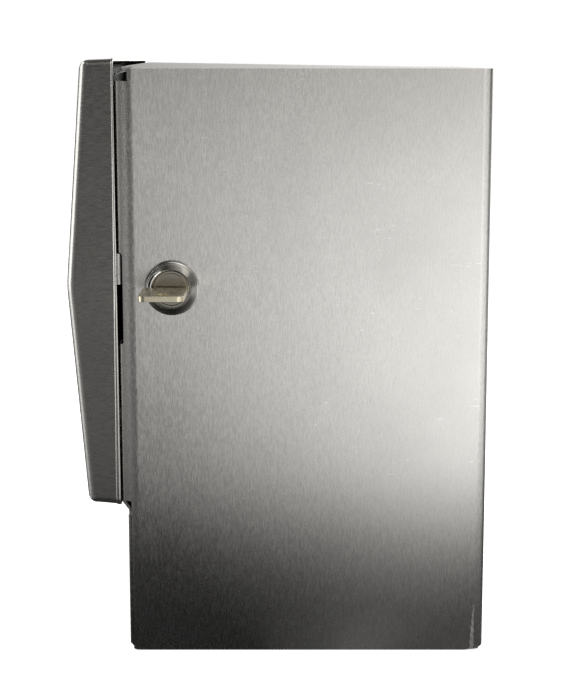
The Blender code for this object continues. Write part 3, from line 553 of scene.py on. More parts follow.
def inset(outline, distance):
    """A closed anticlockwise outline moved inward."""
    moved = []
    for i, point in enumerate(outline):
        into = (point - outline[i - 1]).normalized()
        out = (outline[(i + 1) % len(outline)] - point).normalized()
        first, second = [Vector((-d.y, d.x)) for d in (into, out)]
        middle = (first + second).normalized()
        moved.append(point + middle * (distance / middle.dot(first)))
    return moved


BEND_START = FRONT + 5.7 * MM
BEND_SIDE = SIDE - 2.55 * MM
half_plan = filleted(
    [(0, FRONT), (BEND_SIDE, FRONT), (SIDE, BEND_START), (SIDE, BACK), (0, BACK)],
    (1.7 * MM, 8 * MM, BACK_BEND), 12,
)
body_plan = half_plan + [Vector((-p.x, p.y)) for p in reversed(half_plan[1:-1])]


def folded_blank(wall, low):
    """The outside of the body, or with a wall its inside, as one closed block."""
    bm = prism(inset(body_plan, wall), "Z", low, HEIGHT - wall)
    bevel_top(bm, HEIGHT - wall, TOP_BEND - wall, 9)
    crown_top(bm, HEIGHT - wall)
    return bm


SLOT_HALF_CHORD = 80 * MM
SLOT_DEEP = 7.5 * MM
slot_radius = (SLOT_HALF_CHORD**2 + SLOT_DEEP**2) / (2 * SLOT_DEEP)
crescent = []
for k in range(41):
    x = SLOT_HALF_CHORD * (1 - k / 20)
    crescent.append((x, FRONT + SLOT_DEEP - slot_radius + sqrt(slot_radius**2 - x**2)))
crescent += [(-SLOT_HALF_CHORD, FRONT - 4 * MM), (SLOT_HALF_CHORD, FRONT - 4 * MM)]

beyond = SIDE + 6 * MM
before = FRONT - 6 * MM
relief = [(before, FLANGE_TOP), (FRONT + 5.3 * MM, FLANGE_TOP), (FRONT + 5.3 * MM, HEIGHT - 1.1 * MM),
          (FRONT - 0.2 * MM, HEIGHT - 2.6 * MM), (before, HEIGHT - 2.8 * MM)]
ear_top = [
    (FRONT + 6.2 * MM, HEIGHT + 0.1 * MM), (FRONT + 6.2 * MM, HEIGHT + 6 * MM), (before, HEIGHT + 6 * MM),
    (before, HEIGHT - 2.2 * MM), (FRONT - 0.2 * MM, HEIGHT - 2.0 * MM),
]
EAR_INNER = 72 * MM
latch_window = rounded_outline(
    (before, 129.6 * MM), (FRONT + 1.9 * MM, 167 * MM), (0, 1 * MM, 1.5 * MM, 0), 6)
PAN_BEND = 2.7 * MM
front_foot = [(WALL_FRONT + PAN_BEND * (1 + cos(a)), PAN_BEND * (1 + sin(a)))
              for a in [pi + pi / 2 * k / 8 for k in range(9)]]
front_foot += [(WALL_FRONT + PAN_BEND, -3 * MM), (WALL_FRONT - 3 * MM, -3 * MM),
               (WALL_FRONT - 3 * MM, PAN_BEND)]
rear_foot = [(BACK - 12 * MM, -1 * MM), (BACK + 2 * MM, -1 * MM), (BACK + 2 * MM, 1.9 * MM),
             (BACK, 1.6 * MM)]
LOCK_HOLE_RADIUS = 9.5 * MM
LOCK_HOLE_FLAT = 8.3 * MM
lock_hole = [(LOCK.y + y, LOCK.z + max(-LOCK_HOLE_FLAT, min(LOCK_HOLE_FLAT, z)))
             for y, z in circle((0, 0), LOCK_HOLE_RADIUS, 64, pi / 64)]

MOUNT_HOLES = [(x * MM, z * MM) for x in (-55, 55) for z in (45, 195)]
MOUNT_HOLE_RADIUS = 3.3 * MM

shell = finish(folded_blank(0, 0), "folded_body", upright_grain)
cut(
    shell,
    folded_blank(SHEET, -5 * MM),
    prism(relief, "X", -beyond, beyond),
    prism(ear_top, "X", EAR_INNER, beyond),
    prism(ear_top, "X", -beyond, -EAR_INNER),
    box((-OPENING_HALF, before, FLANGE_BOTTOM - MM), (OPENING_HALF, FRONT + 2 * MM, FLANGE_TOP + MM)),
    box((-beyond, before, -6 * MM), (beyond, WALL_FRONT + 1.4 * MM, FLANGE_BOTTOM)),
    prism(front_foot, "X", -beyond, beyond),
    prism(rear_foot, "X", -beyond, beyond),
    prism(crescent, "Z", HEIGHT - 3 * MM, HEIGHT + 6 * MM),
    prism(latch_window, "X", OPENING_HALF - 2 * MM, beyond),
    prism(lock_hole, "X", SIDE - 4 * MM, beyond),
    *[prism(circle(at, MOUNT_HOLE_RADIUS), "Y", BACK - 4 * MM, BACK + 4 * MM) for at in MOUNT_HOLES],
)
ease_edges(shell, 0.16 * MM)
# The body's inside faces take the painted shade.
paint_inside_shade(shell, Vector((0, 0, HEIGHT / 2)), painted_shade_inside)
shell.data.materials.append(across_grain)
for face in shell.data.polygons:
    if face.material_index == 0 and face.normal.z > 0.75 and face.center.z > HEIGHT - 2 * MM:
        face.material_index = 2
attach(shell, "body")
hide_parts("body_shell")

# ---------------------------------------------------------------------------------------------------
# Corner welds: the lower end of each rear corner is welded to the bottom pan and ground nearly flush,
# which leaves a brighter flame-shaped patch with an uneven edge. Sizes in its loop are in millimetres.

weld_ground = brushed("ground_weld", (0.85, 0.84, 0.81), 0.36, (1, 0.12, 0.12), 0.1, 0.2, 0.0, scuffing=1.0)
WELD_FOOT = 0.4
WELD_TOP = 19.5
WELD_STEPS = 24
for side, word in ((-1, "left"), (1, "right")):
    bm = bmesh.new()
    strips = []
    for k in range(WELD_STEPS + 1):
        z = WELD_FOOT + (WELD_TOP - WELD_FOOT) * k / WELD_STEPS
        full = 1 - (z / WELD_TOP) ** 1.6
        start = 70.9 - 1.5 * full - 0.18 * sin(2.1 * z)
        end = 71.2 + 1.0 * full + 0.12 * sin(3.3 * z + 1)
        strip = [(0, start), (0.1 + 0.3 * full, start + 0.12), (-0.25, end), (-0.6, end)]
        strips.append([bm.verts.new((side * (SIDE + out * MM), y * MM, z * MM)) for out, y in strip])
    for first, second in zip(strips, strips[1:]):
        for i in range(4):
            j = (i + 1) % 4
            bm.faces.new((first[i], first[j], second[j], second[i]))
    for strip in (strips[0], strips[-1]):
        bm.faces.new(strip)
    weld = finish(bm, f"{word}_corner_weld", weld_ground)
    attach(weld, "body")

# ---------------------------------------------------------------------------------------------------
# The bottom and lower front wall: one strip of the same sheet, folded up at the front, joggled
# forward where it meets the door, and folded up again along its sides and back for the welds.

WALL_TOP = 59.5 * MM
SILL_TOP = 74 * MM
WALL_HALF = 85 * MM
PAN_HALF = 87.2 * MM


def sheet_outline(line, thickness):
    """The outline of sheet whose one face follows a line; the other lies to the line's left."""
    offset = []
    for i, point in enumerate(line):
        into = (point - line[i - 1]).normalized() if i else None
        out = (line[i + 1] - point).normalized() if i + 1 < len(line) else None
        into = into or out
        out = out or into
        first, second = [Vector((-d.y, d.x)) for d in (into, out)]
        middle = (first + second).normalized()
        offset.append(point + middle * (thickness / middle.dot(first)))
    return [tuple(p) for p in line] + [tuple(p) for p in reversed(offset)]


pan_rear = BACK - SHEET - 0.5 * MM
pan_line = filleted(
    [(pan_rear, 0), (WALL_FRONT, 0), (WALL_FRONT, WALL_TOP), (FRONT, WALL_TOP + 3.5 * MM),
     (FRONT, SILL_TOP)],
    (PAN_BEND, 1.5 * MM, 1.5 * MM),
)
pan_line.reverse()
pan = finish(prism(sheet_outline(pan_line, SHEET), "X", -PAN_HALF, PAN_HALF), "bottom_and_front_wall",
             upright_grain)
for side in (-1, 1):
    near, far = sorted((side * WALL_HALF, side * (SIDE + 5 * MM)))
    cut(pan, box((near, FRONT - 5 * MM, -2 * MM), (far, WALL_FRONT + 2.2 * MM, SILL_TOP + 5 * MM)))
    near, far = sorted((side * (OPENING_HALF - 0.5 * MM), side * (SIDE + 5 * MM)))
    cut(pan, box((near, FRONT - 5 * MM, FLANGE_BOTTOM - 0.6 * MM), (far, FRONT + 4 * MM, 90 * MM)))
    near, far = sorted((side * (PAN_HALF - SHEET), side * PAN_HALF))
    join(pan, box((near, FRONT + 8 * MM, SHEET / 2), (far, BACK - 5 * MM, 12 * MM)))
WALL_NOSE = 1.1 * MM
nose = [(WALL_HALF - 2 * MM, WALL_FRONT + SHEET), (WALL_HALF - 2 * MM, WALL_FRONT)]
nose += [(SIDE - 0.1 * MM - WALL_NOSE + WALL_NOSE * cos(a), WALL_FRONT + WALL_NOSE + WALL_NOSE * sin(a))
         for a in [-pi / 2 + pi / 2 * k / 8 for k in range(9)]]
nose.append((SIDE - 0.1 * MM, WALL_FRONT + SHEET))
for side in (-1, 1):
    join(pan, prism([(side * x, y) for x, y in nose], "Z", PAN_BEND + 0.1 * MM, WALL_TOP - 1.5 * MM))
join(pan, box((-PAN_HALF + 4 * MM, pan_rear - SHEET, SHEET / 2), (PAN_HALF - 4 * MM, pan_rear, 12 * MM)))
ease_edges(pan, 0.16 * MM)
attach(pan, "body")
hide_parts("bottom_pan")

# ---------------------------------------------------------------------------------------------------
# The door: a shallow pan pressed from the same sheet, with two facets that meet in a soft ridge at
# mid height, rounded edges, drawn-in sides and a rolled bead round its rear rim.

DOOR_REAR = FRONT - 0.4 * MM
DOOR_HALF = 88 * MM
DOOR_BOTTOM = 62 * MM
DOOR_TOP = 244 * MM
DOOR_MIDDLE = (DOOR_BOTTOM + DOOR_TOP) / 2
DOOR_EDGE_DEPTH = 13.6 * MM
DOOR_PEAK_DEPTH = 20.8 * MM
DOOR_DRAFT = 1.6 * MM
DOOR_CORNER = 3 * MM
DOOR_EDGE = 4 * MM
RIDGE_HALF = 3.5 * MM
BEAD_PROUD = 0.3 * MM


def door_depth(z):
    """How far the door's front stands before its rear plane at a height."""
    slope = (DOOR_PEAK_DEPTH - DOOR_EDGE_DEPTH) / (DOOR_TOP - DOOR_MIDDLE)
    away = abs(z - DOOR_MIDDLE)
    if away < RIDGE_HALF:
        away = (away**2 + RIDGE_HALF**2) / (2 * RIDGE_HALF)
    return DOOR_PEAK_DEPTH - slope * away


def door_ring(half, low, high, corner, place):
    """A closed ring of the pan in X and Z, from its lower corner up one side and down the other. place
    gives the depth of a point from its height."""
    points = []
    for k in range(9):
        a = -pi / 2 + (pi / 2) * k / 8
        points.append((half - corner + corner * cos(a), low + corner + corner * sin(a)))
    for z in (72, 84, 96, 110, 125, 138, 147):
        points.append((half, z * MM))
    points += [(half, DOOR_MIDDLE + k * RIDGE_HALF / 4) for k in range(-4, 5)]
    for z in (159, 168, 181, 196, 210, 222, 234):
        points.append((half, z * MM))
    for k in range(9):
        a = (pi / 2) * k / 8
        points.append((half - corner + corner * cos(a), high - corner + corner * sin(a)))
    points += [(-x, z) for x, z in reversed(points)]
    return [(x, place(z), z) for x, z in points]


def bead_width(z):
    """The rolled rim is narrow at the top and wider toward the bottom."""
    share = (DOOR_TOP - z) / (DOOR_TOP - DOOR_BOTTOM)
    return (0.7 + 1.2 * share) * MM


def door_side(wall):
    """Rings of one face of the pan, from the rim forward: (side inset, end inset, corner, place)."""
    edge = DOOR_EDGE - wall
    corner = DOOR_CORNER - wall
    rings = []
    if wall:
        rings.append((wall, wall, corner, lambda z: DOOR_REAR))
    else:
        for share, out in ((0, 0.0), (0.12, -0.7), (0.35, -1.0), (0.65, -0.8), (0.88, 0.1), (1, 0.8)):
            rim = out * BEAD_PROUD
            rings.append((rim, max(rim, 0), corner, lambda z,
                          share=share: DOOR_REAR - share * bead_width(z)))
    drawn = wall + 0.35 * DOOR_DRAFT
    rings.append((wall + DOOR_DRAFT, drawn, corner, lambda z: DOOR_REAR - door_depth(z) + wall + edge))
    for k in range(1, 9):
        a = (pi / 2) * k / 8
        round_in = edge * (1 - cos(a))
        small = max(corner * (1 - 0.9 * sin(a)), 0.2 * MM)
        setback = wall + edge * (1 - sin(a))
        place = lambda z, setback=setback: DOOR_REAR - door_depth(z) + setback
        rings.append((wall + DOOR_DRAFT + round_in, drawn + round_in, small, place))
    return rings


def door_bmesh():
    bm = bmesh.new()
    rims = []
    for wall in (0, SHEET):
        rings = []
        for side_in, end_in, corner, place in door_side(wall):
            points = door_ring(DOOR_HALF - side_in, DOOR_BOTTOM + end_in, DOOR_TOP - end_in, corner, place)
            rings.append([bm.verts.new(p) for p in points])
        count = len(rings[0])
        for first, second in zip(rings, rings[1:]):
            for i in range(count):
                j = (i + 1) % count
                bm.faces.new((first[i], first[j], second[j], second[i]))
        front = rings[-1]
        for i in range(count // 2 - 1):
            bm.faces.new((front[i], front[i + 1], front[count - 2 - i], front[count - 1 - i]))
        rims.append(rings[0])
    outer, inner = rims
    for i in range(len(outer)):
        j = (i + 1) % len(outer)
        bm.faces.new((outer[i], outer[j], inner[j], inner[i]))
    return bm


door = finish(door_bmesh(), "peaked_door", level_grain)
cut(door, box((-SIDE - 5 * MM, FRONT - 3.3 * MM, DOOR_BOTTOM - 5 * MM),
              (-SIDE + 8 * MM, FRONT + 5 * MM, DOOR_TOP + 5 * MM)))
def turned(profile, at, axis="X", count=64):
    """A shape turned about an axis through a point. The profile gives (place along the axis, radius)."""
    bm = bmesh.new()
    rings = []
    for along, radius in profile:
        ring = []
        for k in range(count):
            u, v = radius * cos(2 * pi * k / count), radius * sin(2 * pi * k / count)
            places = {"X": (along, at[1] + u, at[2] + v), "Y": (at[0] + u, along, at[2] + v),
                      "Z": (at[0] + u, at[1] + v, along)}
            ring.append(bm.verts.new(places[axis]))
        rings.append(ring)
    closed = rings[:1] if profile[0][1] > 0 else []
    for first, second in zip(rings, rings[1:] + closed):
        for k in range(count):
            j = (k + 1) % count
            bm.faces.new((first[k], first[j], second[j], second[k]))
    return bm


flange_slope = DOOR_DRAFT / (DOOR_PEAK_DEPTH - DOOR_EDGE)
for y, z in ((-83.4, 159.8), (-82.8, 150.2)):
    skin = DOOR_HALF - flange_slope * (DOOR_REAR - y * MM)
    dent = [(skin - 0.1 * MM, 0), (skin - 0.06 * MM, 0.45 * MM), (skin, 0.85 * MM), (skin + MM, 1.6 * MM),
            (skin + MM, 0)]
    cut(door, turned(dent, (0, y * MM, z * MM), count=24))
ease_edges(door, 0.12 * MM, 2, 50)
# The door's inside faces take the painted shade.
paint_inside_shade(door, Vector((0, FRONT - 6 * MM, DOOR_MIDDLE)), painted_shade_inside)
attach(door, "door")
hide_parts("door_pan")

# ---------------------------------------------------------------------------------------------------
# Latch strike: a bracket bent from the same sheet and held inside the door's side by two spot welds.
# Its finger crosses the slot in the body's bend, where the cam hooks it.

STRIKE_OUT = 85.4 * MM
strike_line = filleted(
    [(STRIKE_OUT, FRONT - 13 * MM), (STRIKE_OUT, FRONT + 1.6 * MM),
     (64.5 * MM, FRONT + 1.6 * MM)], (1.8 * MM,)
)
strike = finish(prism(sheet_outline(strike_line, SHEET), "Z", 144 * MM, 166.4 * MM), "strike_bracket",
                mill_steel)
cut(strike, box((60 * MM, FRONT - 2 * MM, 140 * MM), (90 * MM, FRONT + 5 * MM, 153.7 * MM)))
ease_edges(strike, 0.18 * MM)
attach(strike, "door")
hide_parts("latch_strike")

# ---------------------------------------------------------------------------------------------------
# Lock housing: die-cast and chromed, with a domed head over a thin rim, and a threaded barrel with
# two flats that keep it from turning in the side.


def tarnish_group():
    """The unevenness of plating and bare metal: slow clouds, fine specks and the marks of fingers."""
    tree, into, out = new_group(
        "tarnish",
        [("Place", "NodeSocketVector", None)],
        [("Clouds", "NodeSocketFloat"), ("Specks", "NodeSocketFloat"), ("Smudges", "NodeSocketFloat")],
    )
    place = into.outputs["Place"]
    wire(tree, noise(tree, place, 260, 3, 0.6), out.inputs["Clouds"])
    wire(tree, mapped(tree, noise(tree, place, 2600, 1, 0.4), 0.62, 0.72, 0, 1), out.inputs["Specks"])
    wire(tree, mapped(tree, noise(tree, place, 120, 4, 0.7), 0.45, 0.7, 0, 1), out.inputs["Smudges"])
    return tree


tarnish = tarnish_group()


def plated(name, colour, roughness, dull=0.12, stain=(0.5, 0.45, 0.38), grit=0.04):
    """Plated or bare metal: its clouds lean to a stain, its smudges are duller and it has fine specks."""
    made, tree, shader = metal(name, colour, roughness)
    marks = tree.nodes.new("ShaderNodeGroup")
    marks.node_tree = tarnish
    wire(tree, tree.nodes.new("ShaderNodeTexCoord").outputs["Object"], marks.inputs["Place"])
    cloud = mapped(tree, marks.outputs["Clouds"], 0.4, 0.75, 0, 0.35)
    base = shaded_mix(tree, cloud, colour, tuple(c * stain[0] * 1.7 for c in colour))
    base = shaded_mix(tree, maths(tree, "MULTIPLY", marks.outputs["Smudges"], 0.12), base, stain)
    base = shaded_mix(tree, maths(tree, "MULTIPLY", marks.outputs["Specks"], 0.5), base,
                      tuple(c * 0.5 for c in stain))
    wire(tree, base, shader.inputs["Base Color"])
    rough = maths(tree, "MULTIPLY_ADD", marks.outputs["Smudges"], dull, roughness)
    wire(tree, rough, shader.inputs["Roughness"])
    bump = tree.nodes.new("ShaderNodeBump")
    bump.inputs["Strength"].default_value = grit
    bump.inputs["Distance"].default_value = 0.05 * MM
    wire(tree, marks.outputs["Clouds"], bump.inputs["Height"])
    wire(tree, bump.outputs["Normal"], shader.inputs["Normal"])
    return made


chrome = plated("chrome", (0.44, 0.43, 0.415), 0.06, 0.08, grit=0.02)
worn_chrome = plated("worn_chrome", (0.34, 0.315, 0.28), 0.2, 0.15)
zinc_plate = plated("zinc_plate", (0.60, 0.60, 0.57), 0.3, 0.15, (0.50, 0.47, 0.40), 0.1)
key_brass = plated("key_brass", (0.80, 0.74, 0.56), 0.27, 0.15, (0.55, 0.47, 0.30), 0.1)
wafer_brass = plated("wafer_brass", (0.74, 0.55, 0.27), 0.28, 0.15, (0.45, 0.30, 0.14), 0.1)
bright_steel = plated("bright_steel", (0.60, 0.60, 0.585), 0.2, 0.15, grit=0.06)


HEAD_BASE = SIDE + 0.3 * MM
BARREL_END = SIDE - 18.5 * MM
head = [(HEAD_BASE, 9.2), (HEAD_BASE, 10.8), (SIDE + 0.5 * MM, 11), (SIDE + 1.3 * MM, 11),
        (SIDE + 1.5 * MM, 10.85)]
head += [(SIDE + 1.62 * MM, 10.35), (SIDE + 1.75 * MM, 10.2), (SIDE + 3.3 * MM, 10.1),
         (SIDE + 3.7 * MM, 9.95)]
head += [(SIDE + 5.5 * MM, 8.5), (SIDE + 5.85 * MM, 8.3), (SIDE + 6 * MM, 8.12), (SIDE + 5.9 * MM, 7.95)]
head += [(SIDE + 5.5 * MM, 7.9), (SIDE + 4.0 * MM, 7.9), (SIDE + 4.0 * MM, 6.9)]
head += [(BARREL_END, 6.9), (BARREL_END, 8.8)]
for k in range(14):
    head += [(BARREL_END + (0.6 + k) * MM, 9.2), (BARREL_END + (1.1 + k) * MM, 8.8)]
housing = finish(turned([(x, r * MM) for x, r in head], LOCK, count=96), "lock_body", chrome)
for side in (-1, 1):
    near, far = sorted((side * 8 * MM, side * 12 * MM))
    cut(housing, box((BARREL_END - MM, LOCK.y - 12 * MM, LOCK.z + near),
                     (HEAD_BASE - 0.01 * MM, LOCK.y + 12 * MM, LOCK.z + far)))
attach(housing, "body")
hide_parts("lock_housing")

# ---------------------------------------------------------------------------------------------------
# Lock plug: the core that turns, die-cast with a keyway across its face, a slot for each wafer and a
# square post for the cam. Its face has gone dull from years of keys.

PLUG_FACE = SIDE + 5.3 * MM
PLUG_SHOULDER = SIDE - 19.4 * MM
POST_END = SIDE - 23 * MM
KEYWAY = (4.6 * MM, 1.05 * MM)
WAFER_PITCH = 3.7 * MM
plug_profile = [
    (PLUG_FACE - 0.25 * MM, 0), (PLUG_FACE - 0.25 * MM,
                                 6.3 * MM), (PLUG_FACE, 6.6 * MM), (PLUG_FACE, 7.3 * MM),
    (PLUG_FACE - 0.3 * MM, 7.6 * MM), (PLUG_FACE - 1 * MM, 7.6 * MM), (PLUG_FACE - 1 * MM, 6.6 * MM),
    (PLUG_SHOULDER, 6.6 * MM), (PLUG_SHOULDER, 0),
]
plug = finish(turned(plug_profile, LOCK, count=96), "lock_core_plug", worn_chrome)
join(plug, box((POST_END, LOCK.y - 3 * MM, LOCK.z - 3 * MM),
               (PLUG_SHOULDER + MM, LOCK.y + 3 * MM, LOCK.z + 3 * MM)))
keyway = [(-4.6, -1.05), (-1.2, -1.05), (-0.9, -0.8), (0.9, -0.8), (1.2, -1.05), (4.6, -1.05), (4.6, 1.05),
          (0.5, 1.05), (0, 1.35), (-0.5, 1.05), (-4.6, 1.05)]
cut(plug, prism([(LOCK.y + y * MM, LOCK.z + z * MM) for y, z in keyway], "X", SIDE - 15 * MM,
                PLUG_FACE + MM))
for k in range(4):
    x = SIDE + 1.5 * MM - k * WAFER_PITCH
    cut(plug, box((x - 0.7 * MM, LOCK.y - 7 * MM, LOCK.z - 4.1 * MM),
                  (x + 0.7 * MM, LOCK.y + 7 * MM, LOCK.z + 4.1 * MM)))
cut(plug, prism(circle((LOCK.y, LOCK.z), 1.9 * MM, 24), "X", POST_END - MM, SIDE - 16.6 * MM))
ease_edges(plug, 0.1 * MM)
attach(plug, "lock_core")
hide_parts("lock_plug")

# ---------------------------------------------------------------------------------------------------
# Wafers: four stamped brass plates in the plug's slots, each with a window that the key's blade fills.


def row_tree():
    """Geometry nodes that set out copies of a piece in a straight row and give them a finish."""
    tree = bpy.data.node_groups.new("row", "GeometryNodeTree")
    for label, kind in (("Piece", "NodeSocketGeometry"), ("Count", "NodeSocketInt"),
                        ("Step", "NodeSocketVector"),
                        ("Finish", "NodeSocketMaterial")):
        tree.interface.new_socket(label, in_out="INPUT", socket_type=kind)
    tree.interface.new_socket("Row", in_out="OUTPUT", socket_type="NodeSocketGeometry")
    into, out = tree.nodes.new("NodeGroupInput"), tree.nodes.new("NodeGroupOutput")
    line = tree.nodes.new("GeometryNodeMeshLine")
    line.mode = "OFFSET"
    wire(tree, into.outputs["Count"], line.inputs["Count"])
    wire(tree, into.outputs["Step"], line.inputs["Offset"])
    copies = tree.nodes.new("GeometryNodeInstanceOnPoints")
    wire(tree, line.outputs["Mesh"], copies.inputs["Points"])
    wire(tree, into.outputs["Piece"], copies.inputs["Instance"])
    real = tree.nodes.new("GeometryNodeRealizeInstances")
    wire(tree, copies.outputs["Instances"], real.inputs["Geometry"])
    coat = tree.nodes.new("GeometryNodeSetMaterial")
    wire(tree, real.outputs["Geometry"], coat.inputs["Geometry"])
    wire(tree, into.outputs["Finish"], coat.inputs["Material"])
    wire(tree, coat.outputs["Geometry"], out.inputs["Row"])
    return tree


row = row_tree()


def in_a_row(obj, count, step, surface):
    """Turns an object into a row of itself, as one plain mesh."""
    modifier = obj.modifiers.new("row", "NODES")
    modifier.node_group = row
    sockets = {item.name: item.identifier for item in row.interface.items_tree if item.in_out == "INPUT"}
    for label, value in (("Count", count), ("Step", step), ("Finish", surface)):
        modifier[sockets[label]] = value
    settle(obj)
    obj.data.materials.clear()
    obj.data.materials.append(surface)
    obj.data.polygons.foreach_set("material_index", [0] * len(obj.data.polygons))
    return obj


first_wafer = SIDE + 1.5 * MM
wafer_edge = rounded_outline((LOCK.y - 5.3 * MM, LOCK.z - 3.8 * MM), (LOCK.y + 5.3 * MM, LOCK.z + 3.8 * MM),
                             (1.2 * MM,) * 4, 4)
wafers = finish(prism(wafer_edge, "X", first_wafer - 0.4 * MM, first_wafer + 0.4 * MM), "wafer_plates")
cut(wafers, box((first_wafer - MM, LOCK.y - KEYWAY[0], LOCK.z - KEYWAY[1]),
                (first_wafer + MM, LOCK.y + KEYWAY[0], LOCK.z + KEYWAY[1])))
ease_edges(wafers, 0.08 * MM)
in_a_row(wafers, 4, (-WAFER_PITCH, 0, 0), wafer_brass)
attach(wafers, "lock_core")
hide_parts(*[f"lock_wafer_{k}" for k in range(1, 5)])

# ---------------------------------------------------------------------------------------------------
# Key: a flat key of pale nickel brass, its cuts milled along one edge of the blade, its bow stamped
# thicker and set off to one side.

tip = SIDE - 14 * MM
shoulder = PLUG_FACE + 1.6 * MM
blade = [(tip, -1.6 * MM), (tip + 2.6 * MM, -4.3 * MM), (shoulder + 3 * MM, -4.3 * MM),
         (shoulder + 3 * MM, 4.3 * MM)]
for k, depth in enumerate((1.2, 0.6, 1.6, 0.9)):
    x = SIDE + 3 * MM - k * WAFER_PITCH
    blade += [(x - back * MM, (4.3 - down) * MM) for back, down in ((0, 0), (1.2, depth), (2.2, depth),
                                                                    (3.2, 0))]
blade += [(tip + 2.6 * MM, 4.3 * MM), (tip, 1.6 * MM)]
key = finish(prism([(x, LOCK.y + y) for x, y in blade], "Z", LOCK.z - 0.75 * MM, LOCK.z + 0.75 * MM),
             "flat_key", key_brass)
bow = rounded_outline((shoulder, LOCK.y - 10.8 * MM), (SIDE + 32.5 * MM, LOCK.y + 6.8 * MM),
                      (3 * MM, 2.6 * MM, 2.6 * MM, 2.4 * MM))
join(key, prism(bow, "Z", LOCK.z - 1.05 * MM, LOCK.z + 1.05 * MM))
cut(key, prism(circle((SIDE + 27 * MM, LOCK.y - 2 * MM), 2.6 * MM, 32), "Z", LOCK.z - 3 * MM,
               LOCK.z + 3 * MM))
for side in (-1, 1):
    near, far = sorted((side * 0.45 * MM, side * 2 * MM))
    cut(key, box((tip - MM, LOCK.y - 1.1 * MM, LOCK.z + near),
                 (shoulder - 0.4 * MM, LOCK.y + 1.1 * MM, LOCK.z + far)))
ease_edges(key, 0.3 * MM, 3)
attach(key, "key")
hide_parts("key")

# ---------------------------------------------------------------------------------------------------
# Lock nut and washer: zinc-plated steel, screwed up the barrel against the inside of the side.


def hexagon(at, radius, axis, low, high, bore):
    """A hexagon nut or screw head with its corners turned down at both ends, and a bore if it has one."""
    centre = {"X": (at[1], at[2]), "Z": (at[0], at[1])}[axis]
    obj = finish(prism(circle(centre, radius, 6), axis, low, high), "hexagon", zinc_plate)
    flat = radius * cos(pi / 6)
    fall = (radius - flat) * 0.6
    taper = [(low, 0), (low, flat), (low + fall, radius), (high - fall, radius), (high, flat), (high, 0)]
    combine(obj, turned(taper, at, axis), "INTERSECT")
    if bore:
        cut(obj, turned([(low - MM, 0), (low - MM, bore), (high + MM, bore), (high + MM, 0)], at, axis))
    ease_edges(obj, 0.15 * MM)
    return obj


def settled(obj, name, body, slot, *nodes):
    """Names a finished piece and puts it in its node's place."""
    obj.name = name
    obj.data.name = name
    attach(obj, body)
    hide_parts(*nodes)
    return obj


nut_outer = SIDE - SHEET - 1.5 * MM
settled(hexagon(LOCK, 13 * MM, "X", nut_outer - 3.8 * MM, nut_outer, 9.5 * MM), "barrel_nut", "body",
        "zinc", "lock_nut")
washer_outer = SIDE - SHEET - 0.3 * MM
washer_profile = [(washer_outer, 9.5 * MM), (washer_outer, 12.8 * MM), (washer_outer - 0.9 * MM, 12.8 * MM),
                  (washer_outer - 0.9 * MM, 9.5 * MM)]
washer = finish(turned(washer_profile, LOCK), "washer", zinc_plate)
ease_edges(washer, 0.15 * MM)
settled(washer, "barrel_washer", "body", "zinc", "lock_washer")

# ---------------------------------------------------------------------------------------------------
# Cam, its washer and its screw: a stamped hook on the plug's square post, held by one screw. The hook
# hangs down when unlocked and swings forward round the strike's finger.

cam_arm = [(25, -4), (25, 4), (23.8, 5.5), (22.3, 5.5), (22.3, 0.2), (19.3, 0.2), (19.3, 5.5)]
cam_arm += [(6.9 * cos(pi / 2 + pi * k / 14), 6.9 * sin(pi / 2 + pi * k / 14)) for k in range(15)]
cam_arm += [(6, -5.5), (23.8, -5.5)]
cam_low, cam_high = SIDE - 22.4 * MM, SIDE - 19.8 * MM
cam = finish(prism([(LOCK.y - v * MM, LOCK.z - u * MM) for u, v in cam_arm], "X", cam_low, cam_high), "cam",
             zinc_plate)
cut(cam, box((cam_low - MM, LOCK.y - 3.3 * MM, LOCK.z - 3.3 * MM),
             (cam_high + MM, LOCK.y + 3.3 * MM, LOCK.z + 3.3 * MM)))
ease_edges(cam, 0.25 * MM)
settled(cam, "hook_cam", "lock_core", "zinc", "lock_cam")
x = POST_END - 0.3 * MM
cam_ring = finish(turned([(x, 1.9 * MM), (x, 5.4 * MM), (x - 0.8 * MM, 5.4 * MM), (x - 0.8 * MM, 1.9 * MM)],
                         LOCK), "ring", zinc_plate)
ease_edges(cam_ring, 0.12 * MM)
settled(cam_ring, "cam_ring", "lock_core", "zinc", "cam_washer")
seat = POST_END - 1.4 * MM
cam_bolt = hexagon(LOCK, 3.9 * MM, "X", seat - 2.4 * MM, seat, 0)
shank = [(seat - MM, 0), (seat - MM, 1.5 * MM)]
for k in range(9):
    shank += [(seat + (0.3 + 0.55 * k) * MM, 1.55 * MM), (seat + (0.57 + 0.55 * k) * MM, 1.35 * MM)]
shank += [(SIDE - 17.2 * MM, 1.2 * MM), (SIDE - 17.2 * MM, 0)]
join(cam_bolt, turned(shank, LOCK, count=32))
settled(cam_bolt, "cam_bolt", "lock_core", "zinc", "cam_screw")

# ---------------------------------------------------------------------------------------------------
# Hinge: two leaves of 1 mm steel along the far side, their edges rolled into five knuckles round a pin
# with a head that rests on the top knuckle.

HINGE = Vector((-SIDE, FRONT, 0))
HINGE_LOW = 68 * MM
HINGE_HIGH = 230 * MM
KNUCKLE_PITCH = 32.4 * MM
KNUCKLE_TALL = KNUCKLE_PITCH - 0.4 * MM


def knuckles(first, count):
    """A row of rolled knuckles, every second one along the hinge."""
    low = HINGE_LOW + first * KNUCKLE_PITCH + 0.2 * MM
    high = low + KNUCKLE_TALL
    profile = [(low, 1.35 * MM), (low, 2.15 * MM), (high, 2.15 * MM), (high, 1.35 * MM)]
    obj = finish(turned(profile, HINGE, "Z", 32), "knuckles")
    ease_edges(obj, 0.15 * MM)
    return in_a_row(obj, count, (0, 0, 2 * KNUCKLE_PITCH), bright_steel)


